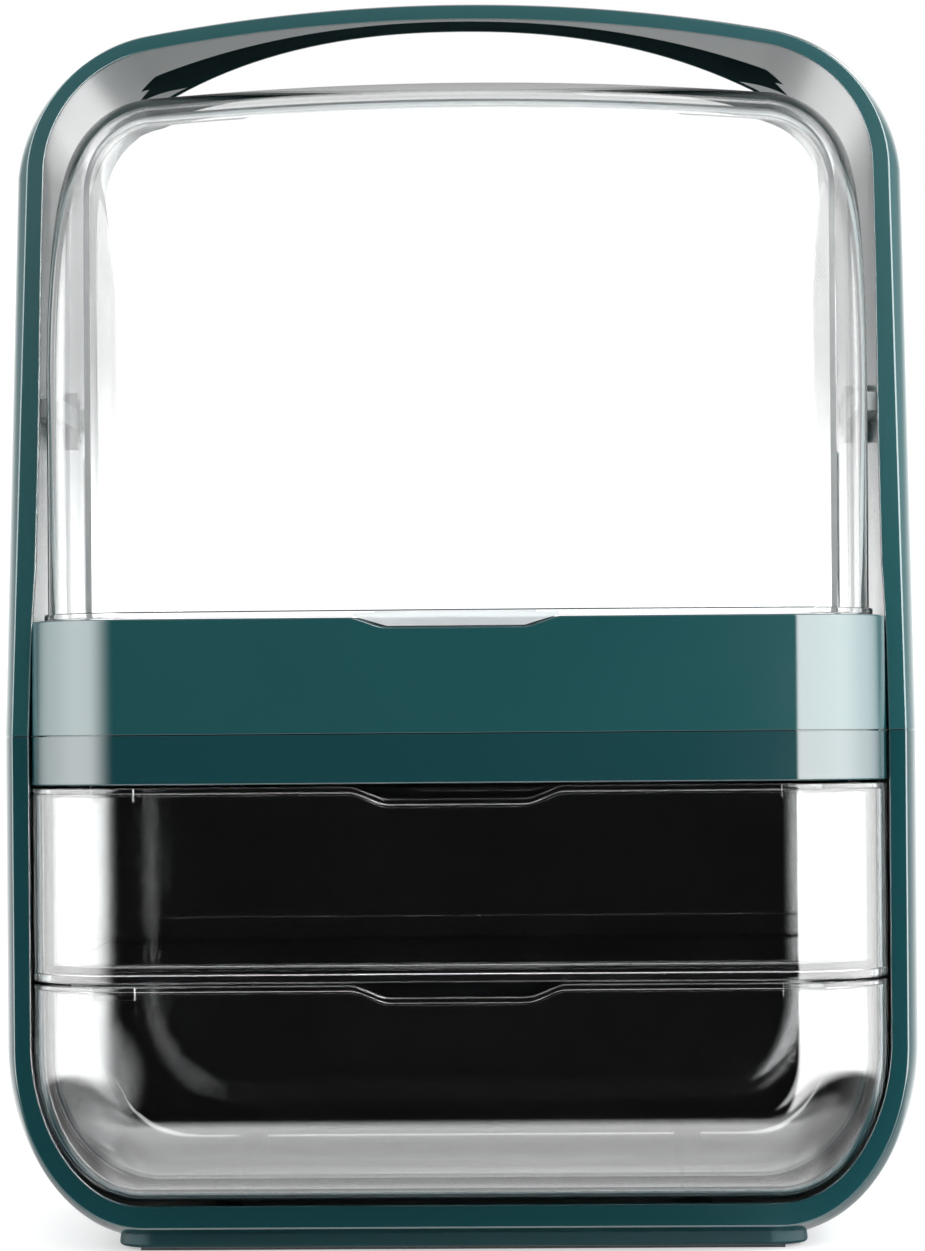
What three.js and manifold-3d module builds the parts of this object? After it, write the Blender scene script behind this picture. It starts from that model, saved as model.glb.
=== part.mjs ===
// A dustproof makeup organizer: a drawer section, and on it a tray section with a clear
// flip cover, a clear back cover and a hoop that is the carrying handle.
// Millimetres, +Z up. The front faces -Y, and the origin is on the floor under the middle.

import * as THREE from 'three';
import { mergeVertices } from 'three/addons/utils/BufferGeometryUtils.js';
import Module from 'manifold-3d';

const wasm = await Module();
wasm.setup();

// Overall sizes
const WIDTH = 272;
const DEPTH = 190;
const SEAM_Z = 152;
const CLEARANCE = 0.3;
const OVERRUN = 30;

// The ring that frames both sections: a rim in front, and sides that bulge behind it
const RIM_SETBACK = 23;
const RIM_FACE = 4.7;
const RIM_DEPTH = 3;
const RING_WALL = 3;
const RING_BULGE = 5.4;
const RING_BULGE_LENGTH = 26;
const BACK_PROUD = 3;
const RIM_BOTTOM_FACE = 7.6;
const RING_BOTTOM_Z = 1.8;
const RING_CORNER_ACROSS = 37.6;
const RING_CORNER_UP = 52.6;

// The hoop above the seam
const HAND_RISE = 21.5;
const HOOP_CROWN_RADIUS = 512;
const CROWN_FACE_SHARE = 0.82;
const CROWN_BULGE_SHARE = 0.5;
const HOOP_CORNER_RADIUS = 44;
const HOOP_LEAN_DEG = 15;
const LINER_WALL = 2;
const HANDLE_WIDTH = 25;
const HAND_OPENING_MARGIN = 23.9;
const HAND_OPENING_POWER_SHARE = 2.46;
const HAND_EDGE = 3;
const GRIP_MARGIN = 2.5;
const GRIP_END_MARGIN = 5;
const GRIP_FRONT_SWEEP = 40;
const GRIP_SWEEP_POWER_SHARE = 1.6;
const GRIP_STEP = 2.5;
const GRIP_EAR_RUN = 16;
const GRIP_EAR_REACH = 6;

// The body between the rims: bands and drawer fronts share one rounded face
const BODY_GAP = 0.5;
const FRONT_EDGE_RADIUS = 26;
const OPENING_CORNER_ACROSS = 38;
const OPENING_CORNER_UP = 44;

// Heights of the layers
const LOWER_BAND_HEIGHT = 14.4;
const UPPER_BAND_HEIGHT = 33.5;
const UPPER_DRAWER_HEIGHT = 57.6;
const LAYER_GAP = 0.8;

// The deck and the tray
const SKIRT_WALL = 2.6;
const PLATE = 2.5;
const TRAY_LEDGE = 14;
const NOTCH_HALF_TOP = 30;
const NOTCH_HALF_FLOOR = 20.2;
const NOTCH_DROP = 2.9;
const HOOK_LENGTH = 10;
const HOOK_THICK = 2.4;
const HOOK_BARB = 1.2;
const HOOK_BARB_HEIGHT = 2.6;
const HOOK_INSET = 33.3;
const HOOK_END_MARGIN = 35;

// The clear covers
const PIVOT_Y = 10;
const PIVOT_RISE = 64.9;
const COVER_SETBACK = 1.6;
const COVER_WALL = 2.2;
const COVER_SIDE_GAP = 4.9;
const COVER_CORNER = 28;
const COVER_CROWN_RADIUS = 1140;
const COVER_END_DEG = 97;
const COVER_EAR_REAR = 2;
const COVER_LOBE_RADIUS = 12;
const COVER_FLANGE = 1.1;
const COVER_FLANGE_HEIGHT = 1.8;
const COVER_SEAT_GAP = 0.4;
const COVER_TO_BACK_GAP = 1;
const BACK_COVER_WALL = 2;
const BACK_COVER_FRONT = 23;
const BACK_COVER_MARGIN = 4;
const BACK_COVER_CORNER = 24;

// The pivots
const PIN_RADIUS = 4;
const PIN_PLAY = 0.3;
const PIN_COLLAR_RADIUS = 7;
const PIN_COLLAR = 0.8;
const PIN_TIP_DEPTH = 4;
const BOSS_RADIUS = 9;
const GUIDE_HEIGHT = 6.3;
const GUIDE_FRONT_MARGIN = 4;
const GUIDE_STAND = 3.2;
const SOCKET_WALL = 2.4;

// The drawers
const FRONT_WALL = 2.2;
const FRONT_LIP = 1.7;
const FRONT_FOOT_LIP = 2.3;
const FRONT_TUCK = 4;
const TRAY_INSET = 4.1;
const TRAY_WALL = 1.9;
const TRAY_TOP_DROP = 2.4;
const TRAY_FOOT_LIFT = 2.7;
const TRAY_BACK_MARGIN = 5;
const SCOOP_HALF_TOP = 30.5;
const SCOOP_HALF_FLOOR = 20.3;
const SCOOP_DROP = 3.6;
const CLIP_WIDTH = 12;
const CLIP_HEIGHT = 4;
const CLIP_THICK = 3.6;
const CLIP_SETBACK = 3.6;
const CLIP_INSET = 21.8;

// What carries the drawers
const DRAWER_SIDE_PLAY = 2;
const SHELF_THICK = 1.6;
const SHELF_FRONT_MARGIN = 8;
const SHELF_DROP = 0.4;
const RAIL_WEB = 2;
const RAIL_LEDGE = 6;
const RAIL_LEDGE_THICK = 2;
const RAIL_FOOT_Z = 62;
const RAIL_RIB = 3;
const RAIL_MARGIN = 2;
const RUNNER_INSET = 51.3;
const RUNNER_WIDTH = 8;
const BACK_PANEL_WALL = 2.5;
const BACK_PANEL_FLANGE = 6;
const BACK_PANEL_CHAMFER = 1;

// The foot
const PLINTH_SIDE_MARGIN = 32.5;
const PLINTH_END_MARGIN = 24;
const PLINTH_CORNER = 10;
const PLINTH_LIFT = 0.8;
const PLINTH_TOP_Z = 7;
const STRIP_END_MARGIN = 8.5;
const STRIP_WIDTH = 12;
const STRIP_HEIGHT = 1.6;
const STRIP_MARGIN = 8;

// Facets
const CORNER_STEPS = 8;
const CROWN_STEPS = 8;
const BULGE_STEPS = 5;
const EDGE_STEPS = 6;
const DOME_STEPS = 28;
const CURVE_STEPS = 12;
const ROUND_STEPS = 24;

const frontY = -DEPTH / 2;
const backY = DEPTH / 2;
const rimFrontY = frontY + RIM_SETBACK;
const rimBackY = backY - BACK_PROUD;
const creaseHalf = WIDTH / 2 - RING_BULGE;
const openingHalf = creaseHalf - RIM_FACE;
const creaseBottomZ = RING_BOTTOM_Z + RING_BULGE;
const openingBottomZ = creaseBottomZ + RIM_BOTTOM_FACE;
const drawerHalf = openingHalf - BODY_GAP - TRAY_INSET;
const coverHalf = openingHalf - COVER_SIDE_GAP;
const coverRadius = PIVOT_Y - (frontY + COVER_SETBACK);
const handOpeningHalf = openingHalf - HAND_OPENING_MARGIN;
const gripHalf = handOpeningHalf - GRIP_END_MARGIN;
const bandBottomZ = SEAM_Z - LOWER_BAND_HEIGHT;
const drawerSplitZ = bandBottomZ - UPPER_DRAWER_HEIGHT;
const trayTopZ = SEAM_Z + UPPER_BAND_HEIGHT;
const pivotZ = trayTopZ + PIVOT_RISE;
const hoopCrownZ = pivotZ + coverRadius + HAND_RISE;
const plinthHalfWidth = WIDTH / 2 - PLINTH_SIDE_MARGIN;
const plinthHalfDepth = DEPTH / 2 - PLINTH_END_MARGIN;
const lowerTopZ = SEAM_Z - CLEARANCE / 2;
const upperBottomZ = SEAM_Z + CLEARANCE / 2;
const wayUpZ = hoopCrownZ + OVERRUN;

// Solids from geometry, and geometry from solids

function solid(geometry) {
  geometry.deleteAttribute('normal');
  geometry.deleteAttribute('uv');
  const merged = mergeVertices(geometry);
  const triVerts = new Uint32Array(merged.index.array);
  const vertProperties = new Float32Array(merged.attributes.position.array);
  return new wasm.Manifold(new wasm.Mesh({ numProp: 3, vertProperties, triVerts }));
}

function geometryOf(body) {
  const mesh = body.getMesh();
  const geometry = new THREE.BufferGeometry();
  geometry.setAttribute('position', new THREE.BufferAttribute(new Float32Array(mesh.vertProperties), 3));
  geometry.setIndex(new THREE.BufferAttribute(new Uint32Array(mesh.triVerts), 1));
  return geometry;
}

function union(bodies) {
  return bodies.reduce((whole, body) => whole.add(body));
}

// Joins rings of points, which all have the same count, and closes both ends with a fan
function loft(rings) {
  const count = rings[0].length;
  const points = rings.flat();
  const faces = [];
  for (let r = 0; r + 1 < rings.length; r++) {
    for (let i = 0; i < count; i++) {
      const a = r * count + i;
      const b = r * count + ((i + 1) % count);
      faces.push([a, b, b + count], [a, b + count, a + count]);
    }
  }
  const middle = (ring) => ring[0].map((_, k) => ring.reduce((sum, p) => sum + p[k], 0) / count);
  const last = (rings.length - 1) * count;
  points.push(middle(rings[0]), middle(rings[rings.length - 1]));
  const firstHub = points.length - 2;
  const lastHub = points.length - 1;
  for (let i = 0; i < count; i++) {
    const next = (i + 1) % count;
    faces.push([firstHub, next, i], [lastHub, last + i, last + next]);
  }
  const at = (k) => new THREE.Vector3(...points[k]);
  const volume = faces.reduce((sum, [a, b, c]) => sum + at(a).dot(at(b).cross(at(c))), 0);
  const turned = volume < 0 ? faces.map(([a, b, c]) => [a, c, b]) : faces;
  const geometry = new THREE.BufferGeometry();
  geometry.setAttribute('position', new THREE.BufferAttribute(new Float32Array(points.flat()), 3));
  geometry.setIndex(turned.flat());
  return solid(geometry);
}

// A flat outline pushed along one axis: 'x' takes (y, z) points, 'y' (x, z), 'z' (x, y)
function prism(points, axis, from, to) {
  const shape = new THREE.Shape(points.map(([u, v]) => new THREE.Vector2(u, v)));
  const geometry = new THREE.ExtrudeGeometry(shape, { depth: to - from, bevelEnabled: false });
  const frames = {
    x: [[0, 1, 0], [0, 0, 1], [1, 0, 0], [from, 0, 0]],
    y: [[1, 0, 0], [0, 0, 1], [0, -1, 0], [0, to, 0]],
    z: [[1, 0, 0], [0, 1, 0], [0, 0, 1], [0, 0, from]],
  };
  const [u, v, w, origin] = frames[axis].map((p) => new THREE.Vector3(...p));
  geometry.applyMatrix4(new THREE.Matrix4().makeBasis(u, v, w).setPosition(origin));
  return solid(geometry);
}

function box([x0, x1], [y0, y1], [z0, z1]) {
  const geometry = new THREE.BoxGeometry(x1 - x0, y1 - y0, z1 - z0);
  geometry.translate((x0 + x1) / 2, (y0 + y1) / 2, (z0 + z1) / 2);
  return solid(geometry);
}

function slab(z0, z1) {
  const reach = WIDTH + DEPTH;
  return box([-reach, reach], [-reach, reach], [z0, z1]);
}

// A round bar along X between two places
function crossBar(radius, x0, x1, y, z) {
  const geometry = new THREE.CylinderGeometry(radius, radius, Math.abs(x1 - x0), ROUND_STEPS);
  geometry.rotateZ(Math.PI / 2);
  geometry.translate((x0 + x1) / 2, y, z);
  return solid(geometry);
}

// Equal steps from one value to another, both ends in
function steps(from, to, count) {
  return Array.from({ length: count + 1 }, (_, i) => from + ((to - from) * i) / count);
}

function arc(centre, across, up, fromAngle, toAngle, count) {
  return steps(fromAngle, toAngle, count).map((a) => [
    centre[0] + across * Math.cos(a),
    centre[1] + up * Math.sin(a),
  ]);
}

function mirrored(points) {
  return points.map(([u, v]) => [-u, v]).reverse();
}

// Outlines

// The drawer section seen from the front: straight sides, two round lower corners
function lowerOutline(half, bottomZ, across, up, topZ) {
  const corner = arc([half - across, bottomZ + up], across, up, -Math.PI / 2, 0, CORNER_STEPS);
  const right = [...corner, [half, topZ]];
  return [...right, ...mirrored(right)];
}

function lowerRingOutline(grow) {
  const across = RING_CORNER_ACROSS + grow;
  const up = RING_CORNER_UP + grow;
  return lowerOutline(creaseHalf + grow, creaseBottomZ - grow, across, up, SEAM_Z + OVERRUN);
}

function lowerOpeningOutline() {
  const topZ = SEAM_Z + OVERRUN;
  return lowerOutline(openingHalf, openingBottomZ, OPENING_CORNER_ACROSS, OPENING_CORNER_UP, topZ);
}

function bodyOutline(inset) {
  const off = BODY_GAP + inset;
  const across = OPENING_CORNER_ACROSS - off;
  const up = OPENING_CORNER_UP - off;
  return lowerOutline(openingHalf - off, openingBottomZ + off, across, up, trayTopZ + OVERRUN);
}

// The hoop seen from the front: legs, round shoulders and a slightly crowned top.
// Its face narrows towards the top, and so does its bulge.
function hoopOutline(grow) {
  const crownCentre = hoopCrownZ - HOOP_CROWN_RADIUS;
  const shoulderX = creaseHalf - HOOP_CORNER_RADIUS;
  const reach = HOOP_CROWN_RADIUS - HOOP_CORNER_RADIUS;
  const shoulderZ = crownCentre + Math.sqrt(reach ** 2 - shoulderX ** 2);
  const meet = Math.atan2(shoulderZ - crownCentre, shoulderX);
  const topShare = grow < 0 ? CROWN_FACE_SHARE : CROWN_BULGE_SHARE;
  const grown = ([cx, cz], radius) => (a) => {
    const r = radius + grow * (1 - (1 - topShare) * Math.sin(a));
    return [cx + r * Math.cos(a), cz + r * Math.sin(a)];
  };
  const shoulder = steps(0, meet, CORNER_STEPS).map(grown([shoulderX, shoulderZ], HOOP_CORNER_RADIUS));
  const right = [[creaseHalf + grow, SEAM_Z - OVERRUN], ...shoulder];
  const top = steps(meet, Math.PI - meet, CROWN_STEPS).slice(1, -1);
  return [...right, ...top.map(grown([0, crownCentre], HOOP_CROWN_RADIUS)), ...mirrored(right)];
}

// The sides bulge out behind the rim in a quarter of an ellipse, in front and at the back
function bulgeAt(y) {
  const run = Math.min(y - rimFrontY, rimBackY - y, RING_BULGE_LENGTH);
  return RING_BULGE * Math.sqrt(Math.max(0, 1 - (1 - run / RING_BULGE_LENGTH) ** 2));
}

function bulgeStations(margin) {
  const turns = steps(0, Math.PI / 2, BULGE_STEPS);
  const runs = turns.map((t) => RING_BULGE_LENGTH * (1 - Math.cos(t)));
  const front = [margin, ...runs.filter((run) => run > margin)];
  return [...front.map((run) => rimFrontY + run), ...front.reverse().map((run) => rimBackY - run)];
}

function straight(point) {
  return point;
}

// The hoop's front edge leans back from the seam, its back edge stays upright
function leaned([x, y, z]) {
  const share = (rimBackY - y) / (rimBackY - rimFrontY);
  const shift = (z - SEAM_Z) * Math.tan(THREE.MathUtils.degToRad(HOOP_LEAN_DEG));
  return [x, y + share * shift, z];
}

function alongY(stations, outlineAt, place) {
  return loft(stations.map((y) => outlineAt(y).map(([x, z]) => place([x, y, z]))));
}

function ringSolid(outline, place) {
  return alongY(bulgeStations(0), (y) => outline(bulgeAt(y)), place);
}

function ringHollow(outline, place) {
  return alongY(bulgeStations(RIM_DEPTH), (y) => outline(bulgeAt(y) - RING_WALL), place);
}

// The rounded face of bands and drawers, shrunk by an inset, back to a given place
function bodySolid(inset, rearY) {
  const radius = FRONT_EDGE_RADIUS - inset;
  const turns = steps(0, Math.PI / 2, EDGE_STEPS);
  const rings = turns.map((t) => {
    const y = frontY + inset + radius * (1 - Math.cos(t));
    return bodyOutline(inset + radius * (1 - Math.sin(t))).map(([x, z]) => [x, y, z]);
  });
  rings.push(bodyOutline(inset).map(([x, z]) => [x, rearY, z]));
  return loft(rings);
}

// A clear dome seen from the side: upright front, round top about the pivot, upright back
function domeOutline(radius) {
  const footZ = SEAM_Z - OVERRUN;
  const top = arc([PIVOT_Y, pivotZ], radius, radius, 0, Math.PI, DOME_STEPS);
  return [[PIVOT_Y + radius, footZ], ...top, [PIVOT_Y - radius, footZ]];
}

// The dome's radius falls off to its sides: a slight crown, then a round corner
function domeSolid(radius, half, corner) {
  const flat = half - corner;
  const quarter = steps(0, Math.PI / 2, EDGE_STEPS);
  const turns = quarter.map((t) => [flat + corner * Math.sin(t), corner * (1 - Math.cos(t))]);
  const side = [...steps(0, flat, 2).slice(0, -1).map((x) => [x, 0]), ...turns];
  const stations = [...side.slice(1).map(([x, drop]) => [-x, drop]).reverse(), ...side];
  const crown = (x) => Math.min(Math.abs(x), flat) ** 2 / (2 * COVER_CROWN_RADIUS);
  const ringAt = ([x, drop]) => domeOutline(radius - drop - crown(x)).map(([y, z]) => [x, y, z]);
  return loft(stations.map(ringAt));
}

// An edge with a shallow trapezoid notch in its middle, as (x, z) points from left to right
function notchedEdge(topZ, halfTop, halfFloor, drop, reach) {
  return [
    [-reach, topZ],
    [-halfTop, topZ],
    [-halfFloor, topZ - drop],
    [halfFloor, topZ - drop],
    [halfTop, topZ],
    [reach, topZ],
  ];
}

function below(edge, bottomZ) {
  return [...edge, [edge[edge.length - 1][0], bottomZ], [edge[0][0], bottomZ]];
}

// Lower section

function plinth() {
  const halfX = plinthHalfWidth - PLINTH_CORNER;
  const halfY = plinthHalfDepth - PLINTH_CORNER;
  const quarter = Math.PI / 2;
  const corners = [[halfX, halfY], [-halfX, halfY], [-halfX, -halfY], [halfX, -halfY]];
  const outline = corners.flatMap((centre, k) =>
    arc(centre, PLINTH_CORNER, PLINTH_CORNER, k * quarter, (k + 1) * quarter, CORNER_STEPS));
  const block = prism(outline, 'z', PLINTH_LIFT, PLINTH_TOP_Z);
  const seat = alongY(bulgeStations(0), (y) => lowerRingOutline(bulgeAt(y) + CLEARANCE), straight);
  const grooves = [-1, 1].map((side) => stripBox(side, CLEARANCE));
  return block.subtract(seat).subtract(union(grooves));
}

function stripBox(side, grow) {
  const halfLength = plinthHalfWidth - STRIP_END_MARGIN + grow;
  const middle = side * (plinthHalfDepth - STRIP_MARGIN - STRIP_WIDTH / 2);
  const halfWidth = STRIP_WIDTH / 2 + grow;
  const upright = [grow ? -OVERRUN : 0, STRIP_HEIGHT + grow];
  return box([-halfLength, halfLength], [middle - halfWidth, middle + halfWidth], upright);
}

function lowerShell() {
  const opening = alongY([rimFrontY - OVERRUN, rimBackY + OVERRUN], lowerOpeningOutline, straight);
  return ringSolid(lowerRingOutline, straight)
    .subtract(opening)
    .subtract(ringHollow(lowerRingOutline, straight))
    .intersect(slab(-OVERRUN, lowerTopZ));
}

// A shallow pan that closes the back of the drawer section
function backPanel() {
  const topZ = bandBottomZ - CLEARANCE;
  const frontOfPan = rimBackY - BACK_PANEL_FLANGE;
  const edge = backY - BACK_PANEL_CHAMFER;
  const rings = [
    [frontOfPan, 0],
    [edge, 0],
    [backY, backY - edge],
  ];
  const pan = loft(rings.map(([y, inset]) => bodyOutline(inset).map(([x, z]) => [x, y, z])));
  const insideEnds = [frontOfPan - OVERRUN, backY - BACK_PANEL_WALL];
  const inside = alongY(insideEnds, () => bodyOutline(BACK_PANEL_WALL), straight);
  return pan.subtract(inside).intersect(slab(-OVERRUN, topZ));
}

function deck() {
  const rearY = backY;
  const lid = bodySolid(0, rearY).intersect(slab(bandBottomZ, lowerTopZ));
  const inside = bodySolid(SKIRT_WALL, rearY - SKIRT_WALL).intersect(slab(-OVERRUN, lowerTopZ - PLATE));
  const slots = hookPlaces().map(([x, y, side]) => {
    const near = x - side * (HOOK_THICK / 2 + CLEARANCE);
    const far = x + side * (HOOK_THICK / 2 + HOOK_BARB / 2 + CLEARANCE);
    const half = HOOK_LENGTH / 2 + CLEARANCE;
    return box([Math.min(near, far), Math.max(near, far)], [y - half, y + half], [bandBottomZ, SEAM_Z]);
  });
  return lid.subtract(inside).subtract(union(slots));
}

function hookPlaces() {
  const x = drawerHalf - HOOK_INSET;
  const y = backY - HOOK_END_MARGIN;
  return [-1, 1].flatMap((side) => [-1, 1].map((end) => [side * x, end * y, side]));
}

// A side frame: a web beside the drawers, ribs out to the shell and a ledge for the shelf
function rail(side) {
  const inner = drawerHalf + DRAWER_SIDE_PLAY;
  const outer = inner + RAIL_WEB;
  const wall = WIDTH / 2 - RING_WALL - CLEARANCE;
  const front = rimFrontY + RING_BULGE_LENGTH;
  const rear = rimBackY - RING_BULGE_LENGTH;
  const topZ = bandBottomZ - RAIL_MARGIN;
  const ledgeTop = shelfBottomZ() - CLEARANCE;
  const across = (a, b) => [Math.min(side * a, side * b), Math.max(side * a, side * b)];
  const web = box(across(inner, outer), [front, rear], [RAIL_FOOT_Z, topZ]);
  const ledgeUpright = [ledgeTop - RAIL_LEDGE_THICK, ledgeTop];
  const ledge = box(across(inner - RAIL_LEDGE, outer), [front, rear], ledgeUpright);
  const ribs = [front, (front + rear - RAIL_RIB) / 2, rear - RAIL_RIB].map((y) =>
    box(across(inner, wall), [y, y + RAIL_RIB], [RAIL_FOOT_Z, topZ]));
  return union([web, ledge, ...ribs]);
}

function shelfBottomZ() {
  return drawerSplitZ - SHELF_DROP;
}

function shelf() {
  const half = drawerHalf + DRAWER_SIDE_PLAY - CLEARANCE;
  const z = shelfBottomZ();
  const ends = [rimFrontY + SHELF_FRONT_MARGIN, rimBackY - BACK_PANEL_FLANGE - CLEARANCE];
  return box([-half, half], ends, [z, z + SHELF_THICK]);
}

function runner(side) {
  const middle = side * (drawerHalf - RUNNER_INSET);
  const floorZ = RING_BOTTOM_Z + RING_WALL + CLEARANCE;
  const front = rimFrontY + RING_BULGE_LENGTH;
  const rear = rimBackY - RING_BULGE_LENGTH;
  const topZ = openingBottomZ + BODY_GAP + TRAY_INSET - CLEARANCE;
  return box([middle - RUNNER_WIDTH / 2, middle + RUNNER_WIDTH / 2], [front, rear], [floorZ, topZ]);
}

// Drawers: each has a clear tray and a rounded clear front that clips over it

const DRAWERS = {
  lower: { bottomZ: 0, topZ: drawerSplitZ - LAYER_GAP / 2, rounded: true },
  upper: { bottomZ: drawerSplitZ + LAYER_GAP / 2, topZ: bandBottomZ - LAYER_GAP, rounded: false },
};

function scoopedEdge(topZ) {
  return notchedEdge(topZ, SCOOP_HALF_TOP, SCOOP_HALF_FLOOR, SCOOP_DROP, WIDTH);
}

function underEdge(topZ, bottomZ) {
  return prism(below(scoopedEdge(topZ), bottomZ), 'y', frontY - OVERRUN, backY + OVERRUN);
}

function drawerFront({ bottomZ, topZ, rounded }) {
  const rearY = rimFrontY + FRONT_TUCK;
  const outer = bodySolid(0, rearY);
  const skin = outer.subtract(bodySolid(FRONT_WALL, rearY + OVERRUN));
  const thick = outer.subtract(bodySolid(TRAY_INSET - CLEARANCE, rearY + OVERRUN));
  const topEdge = underEdge(topZ, bottomZ).subtract(underEdge(topZ - FRONT_LIP, bottomZ - OVERRUN));
  const lip = thick.intersect(topEdge);
  const parts = [skin.intersect(underEdge(topZ, bottomZ)), lip];
  if (!rounded) {
    parts.push(thick.intersect(slab(bottomZ, bottomZ + FRONT_FOOT_LIP)));
  }
  return union(parts).subtract(union(clipPlaces(topZ).map((place) => clip(place, CLEARANCE))));
}

function trayRearY() {
  return rimBackY - BACK_PANEL_FLANGE - TRAY_BACK_MARGIN;
}

function drawerTray({ bottomZ, topZ, rounded }) {
  const rearY = trayRearY();
  const footZ = rounded ? -OVERRUN : bottomZ + TRAY_FOOT_LIFT;
  const floorZ = rounded ? -OVERRUN : footZ + TRAY_WALL;
  const outer = bodySolid(TRAY_INSET, rearY).intersect(underEdge(topZ - TRAY_TOP_DROP, footZ));
  const inner = bodySolid(TRAY_INSET + TRAY_WALL, rearY - TRAY_WALL).intersect(slab(floorZ, wayUpZ));
  return outer.subtract(inner).subtract(union(clipPlaces(topZ).map((place) => clip(place, CLEARANCE))));
}

function clipPlaces(topZ) {
  return [-1, 1].map((side) => [side * (drawerHalf - CLIP_INSET), topZ]);
}

// A clip sits in a notch of the front's lip, over the top edge of the tray
function clip([x, topZ], grow) {
  const half = CLIP_WIDTH / 2 + grow;
  const frontOfClip = frontY + CLIP_SETBACK - grow;
  const rearOfClip = frontY + CLIP_SETBACK + CLIP_THICK + grow;
  const high = grow ? topZ + OVERRUN : topZ - CLEARANCE;
  return box([x - half, x + half], [frontOfClip, rearOfClip], [topZ - CLIP_HEIGHT - grow, high]);
}

// Upper section

function trayNotch(drop, grow) {
  const halfTop = NOTCH_HALF_TOP + grow;
  const halfFloor = NOTCH_HALF_FLOOR + grow;
  const reach = NOTCH_HALF_TOP + OVERRUN;
  const edge = notchedEdge(trayTopZ, halfTop, halfFloor, drop + grow, reach);
  const above = [...edge, [reach, trayTopZ + OVERRUN], [-reach, trayTopZ + OVERRUN]];
  return prism(above, 'y', frontY - OVERRUN, frontY + TRAY_LEDGE / 2);
}

function upperTray() {
  const rearY = backY;
  const block = bodySolid(0, rearY).intersect(slab(upperBottomZ, trayTopZ));
  const tub = bodySolid(TRAY_LEDGE, rearY - TRAY_LEDGE).intersect(slab(upperBottomZ + PLATE, wayUpZ));
  const rimInside = bodySolid(SKIRT_WALL, rearY - SKIRT_WALL)
    .subtract(bodySolid(TRAY_LEDGE - SKIRT_WALL, rearY - TRAY_LEDGE + SKIRT_WALL))
    .intersect(slab(-OVERRUN, trayTopZ - PLATE))
    .subtract(trayNotch(NOTCH_DROP, SKIRT_WALL));
  const hooks = hookPlaces().map(hook);
  return union([block.subtract(tub).subtract(rimInside), ...hooks]).subtract(trayNotch(NOTCH_DROP, 0));
}

// A hook that snaps under the deck's plate
function hook([x, y, side]) {
  const half = HOOK_LENGTH / 2;
  const along = [y - half, y + half];
  const barbTop = lowerTopZ - PLATE - CLEARANCE;
  const foot = barbTop - HOOK_BARB_HEIGHT;
  const stem = box([x - HOOK_THICK / 2, x + HOOK_THICK / 2], along, [foot, upperBottomZ + PLATE / 2]);
  const tip = x + side * (HOOK_THICK / 2 + HOOK_BARB);
  const barb = box([Math.min(x, tip), Math.max(x, tip)], along, [foot, barbTop]);
  return stem.add(barb);
}

// The gap for the hand, seen from above: it cuts the hoop's back away to a handle
function handOpening(grow) {
  const reach = handOpeningHalf + grow;
  const nearest = handleBackY() - grow;
  const curve = steps(-1, 1, 2 * CURVE_STEPS).map((share) => {
    const back = Math.abs(share) ** HAND_OPENING_POWER_SHARE;
    return [share * reach, nearest + (rimBackY - nearest) * back];
  });
  const outline = [...curve, [reach, rimBackY + OVERRUN], [-reach, rimBackY + OVERRUN]];
  return prism(outline, 'z', pivotZ, wayUpZ);
}

function handleFrontY() {
  return leaned([0, rimFrontY, hoopCrownZ])[1];
}

function handleBackY() {
  return handleFrontY() + HANDLE_WIDTH;
}

function hoopOpening(grow) {
  const ends = [rimFrontY - OVERRUN, rimBackY + OVERRUN];
  return alongY(ends, () => hoopOutline(grow - RIM_FACE), leaned);
}

function linerStations(margin) {
  return [rimFrontY + RIM_DEPTH + margin, rimBackY - RIM_DEPTH - margin];
}

function upperHoop() {
  const hollow = ringHollow(hoopOutline, leaned).subtract(handOpening(HAND_EDGE));
  const sockets = [-1, 1].map((side) => socket(side));
  return ringSolid(hoopOutline, leaned)
    .subtract(hoopOpening(0))
    .subtract(hollow)
    .subtract(handOpening(0))
    .intersect(slab(upperBottomZ, wayUpZ))
    .add(union(sockets))
    .subtract(union([-1, 1].map((side) => pinHole(side))));
}

// The round socket on the hoop's wall that a pivot pin is pressed into
function socket(side) {
  const wall = WIDTH / 2 - RING_WALL / 2;
  const face = openingHalf + LINER_WALL + CLEARANCE;
  return crossBar(PIN_RADIUS + SOCKET_WALL, side * face, side * wall, PIVOT_Y, pivotZ);
}

function pinHole(side) {
  const radius = PIN_RADIUS + PIN_PLAY;
  const face = openingHalf + LINER_WALL + CLEARANCE;
  return crossBar(radius, side * (face - OVERRUN), side * (face + PIN_TIP_DEPTH), PIVOT_Y, pivotZ);
}

// The inner skin of the hoop, flush with its rims, with a guide that ends in a pivot boss
function hoopLiner() {
  const skin = alongY(linerStations(CLEARANCE), () => hoopOutline(LINER_WALL - RIM_FACE), leaned)
    .subtract(hoopOpening(0))
    .subtract(handOpening(HAND_EDGE + CLEARANCE))
    .subtract(gripRegion(CLEARANCE))
    .intersect(slab(upperBottomZ, wayUpZ));
  const guides = [-1, 1].map((side) => guide(side));
  return union([skin, ...guides]).subtract(union([-1, 1].map((side) => pinHole(side))));
}

function guide(side) {
  const face = side * (openingHalf - GUIDE_STAND);
  const root = side * (openingHalf + LINER_WALL / 2);
  const frontEnd = leaned([0, rimFrontY, pivotZ])[1] + GUIDE_FRONT_MARGIN;
  const bar = box(
    [Math.min(face, root), Math.max(face, root)],
    [frontEnd, PIVOT_Y],
    [pivotZ - GUIDE_HEIGHT / 2, pivotZ + GUIDE_HEIGHT / 2],
  );
  return bar.add(crossBar(BOSS_RADIUS, face, root, PIVOT_Y, pivotZ));
}

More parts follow.
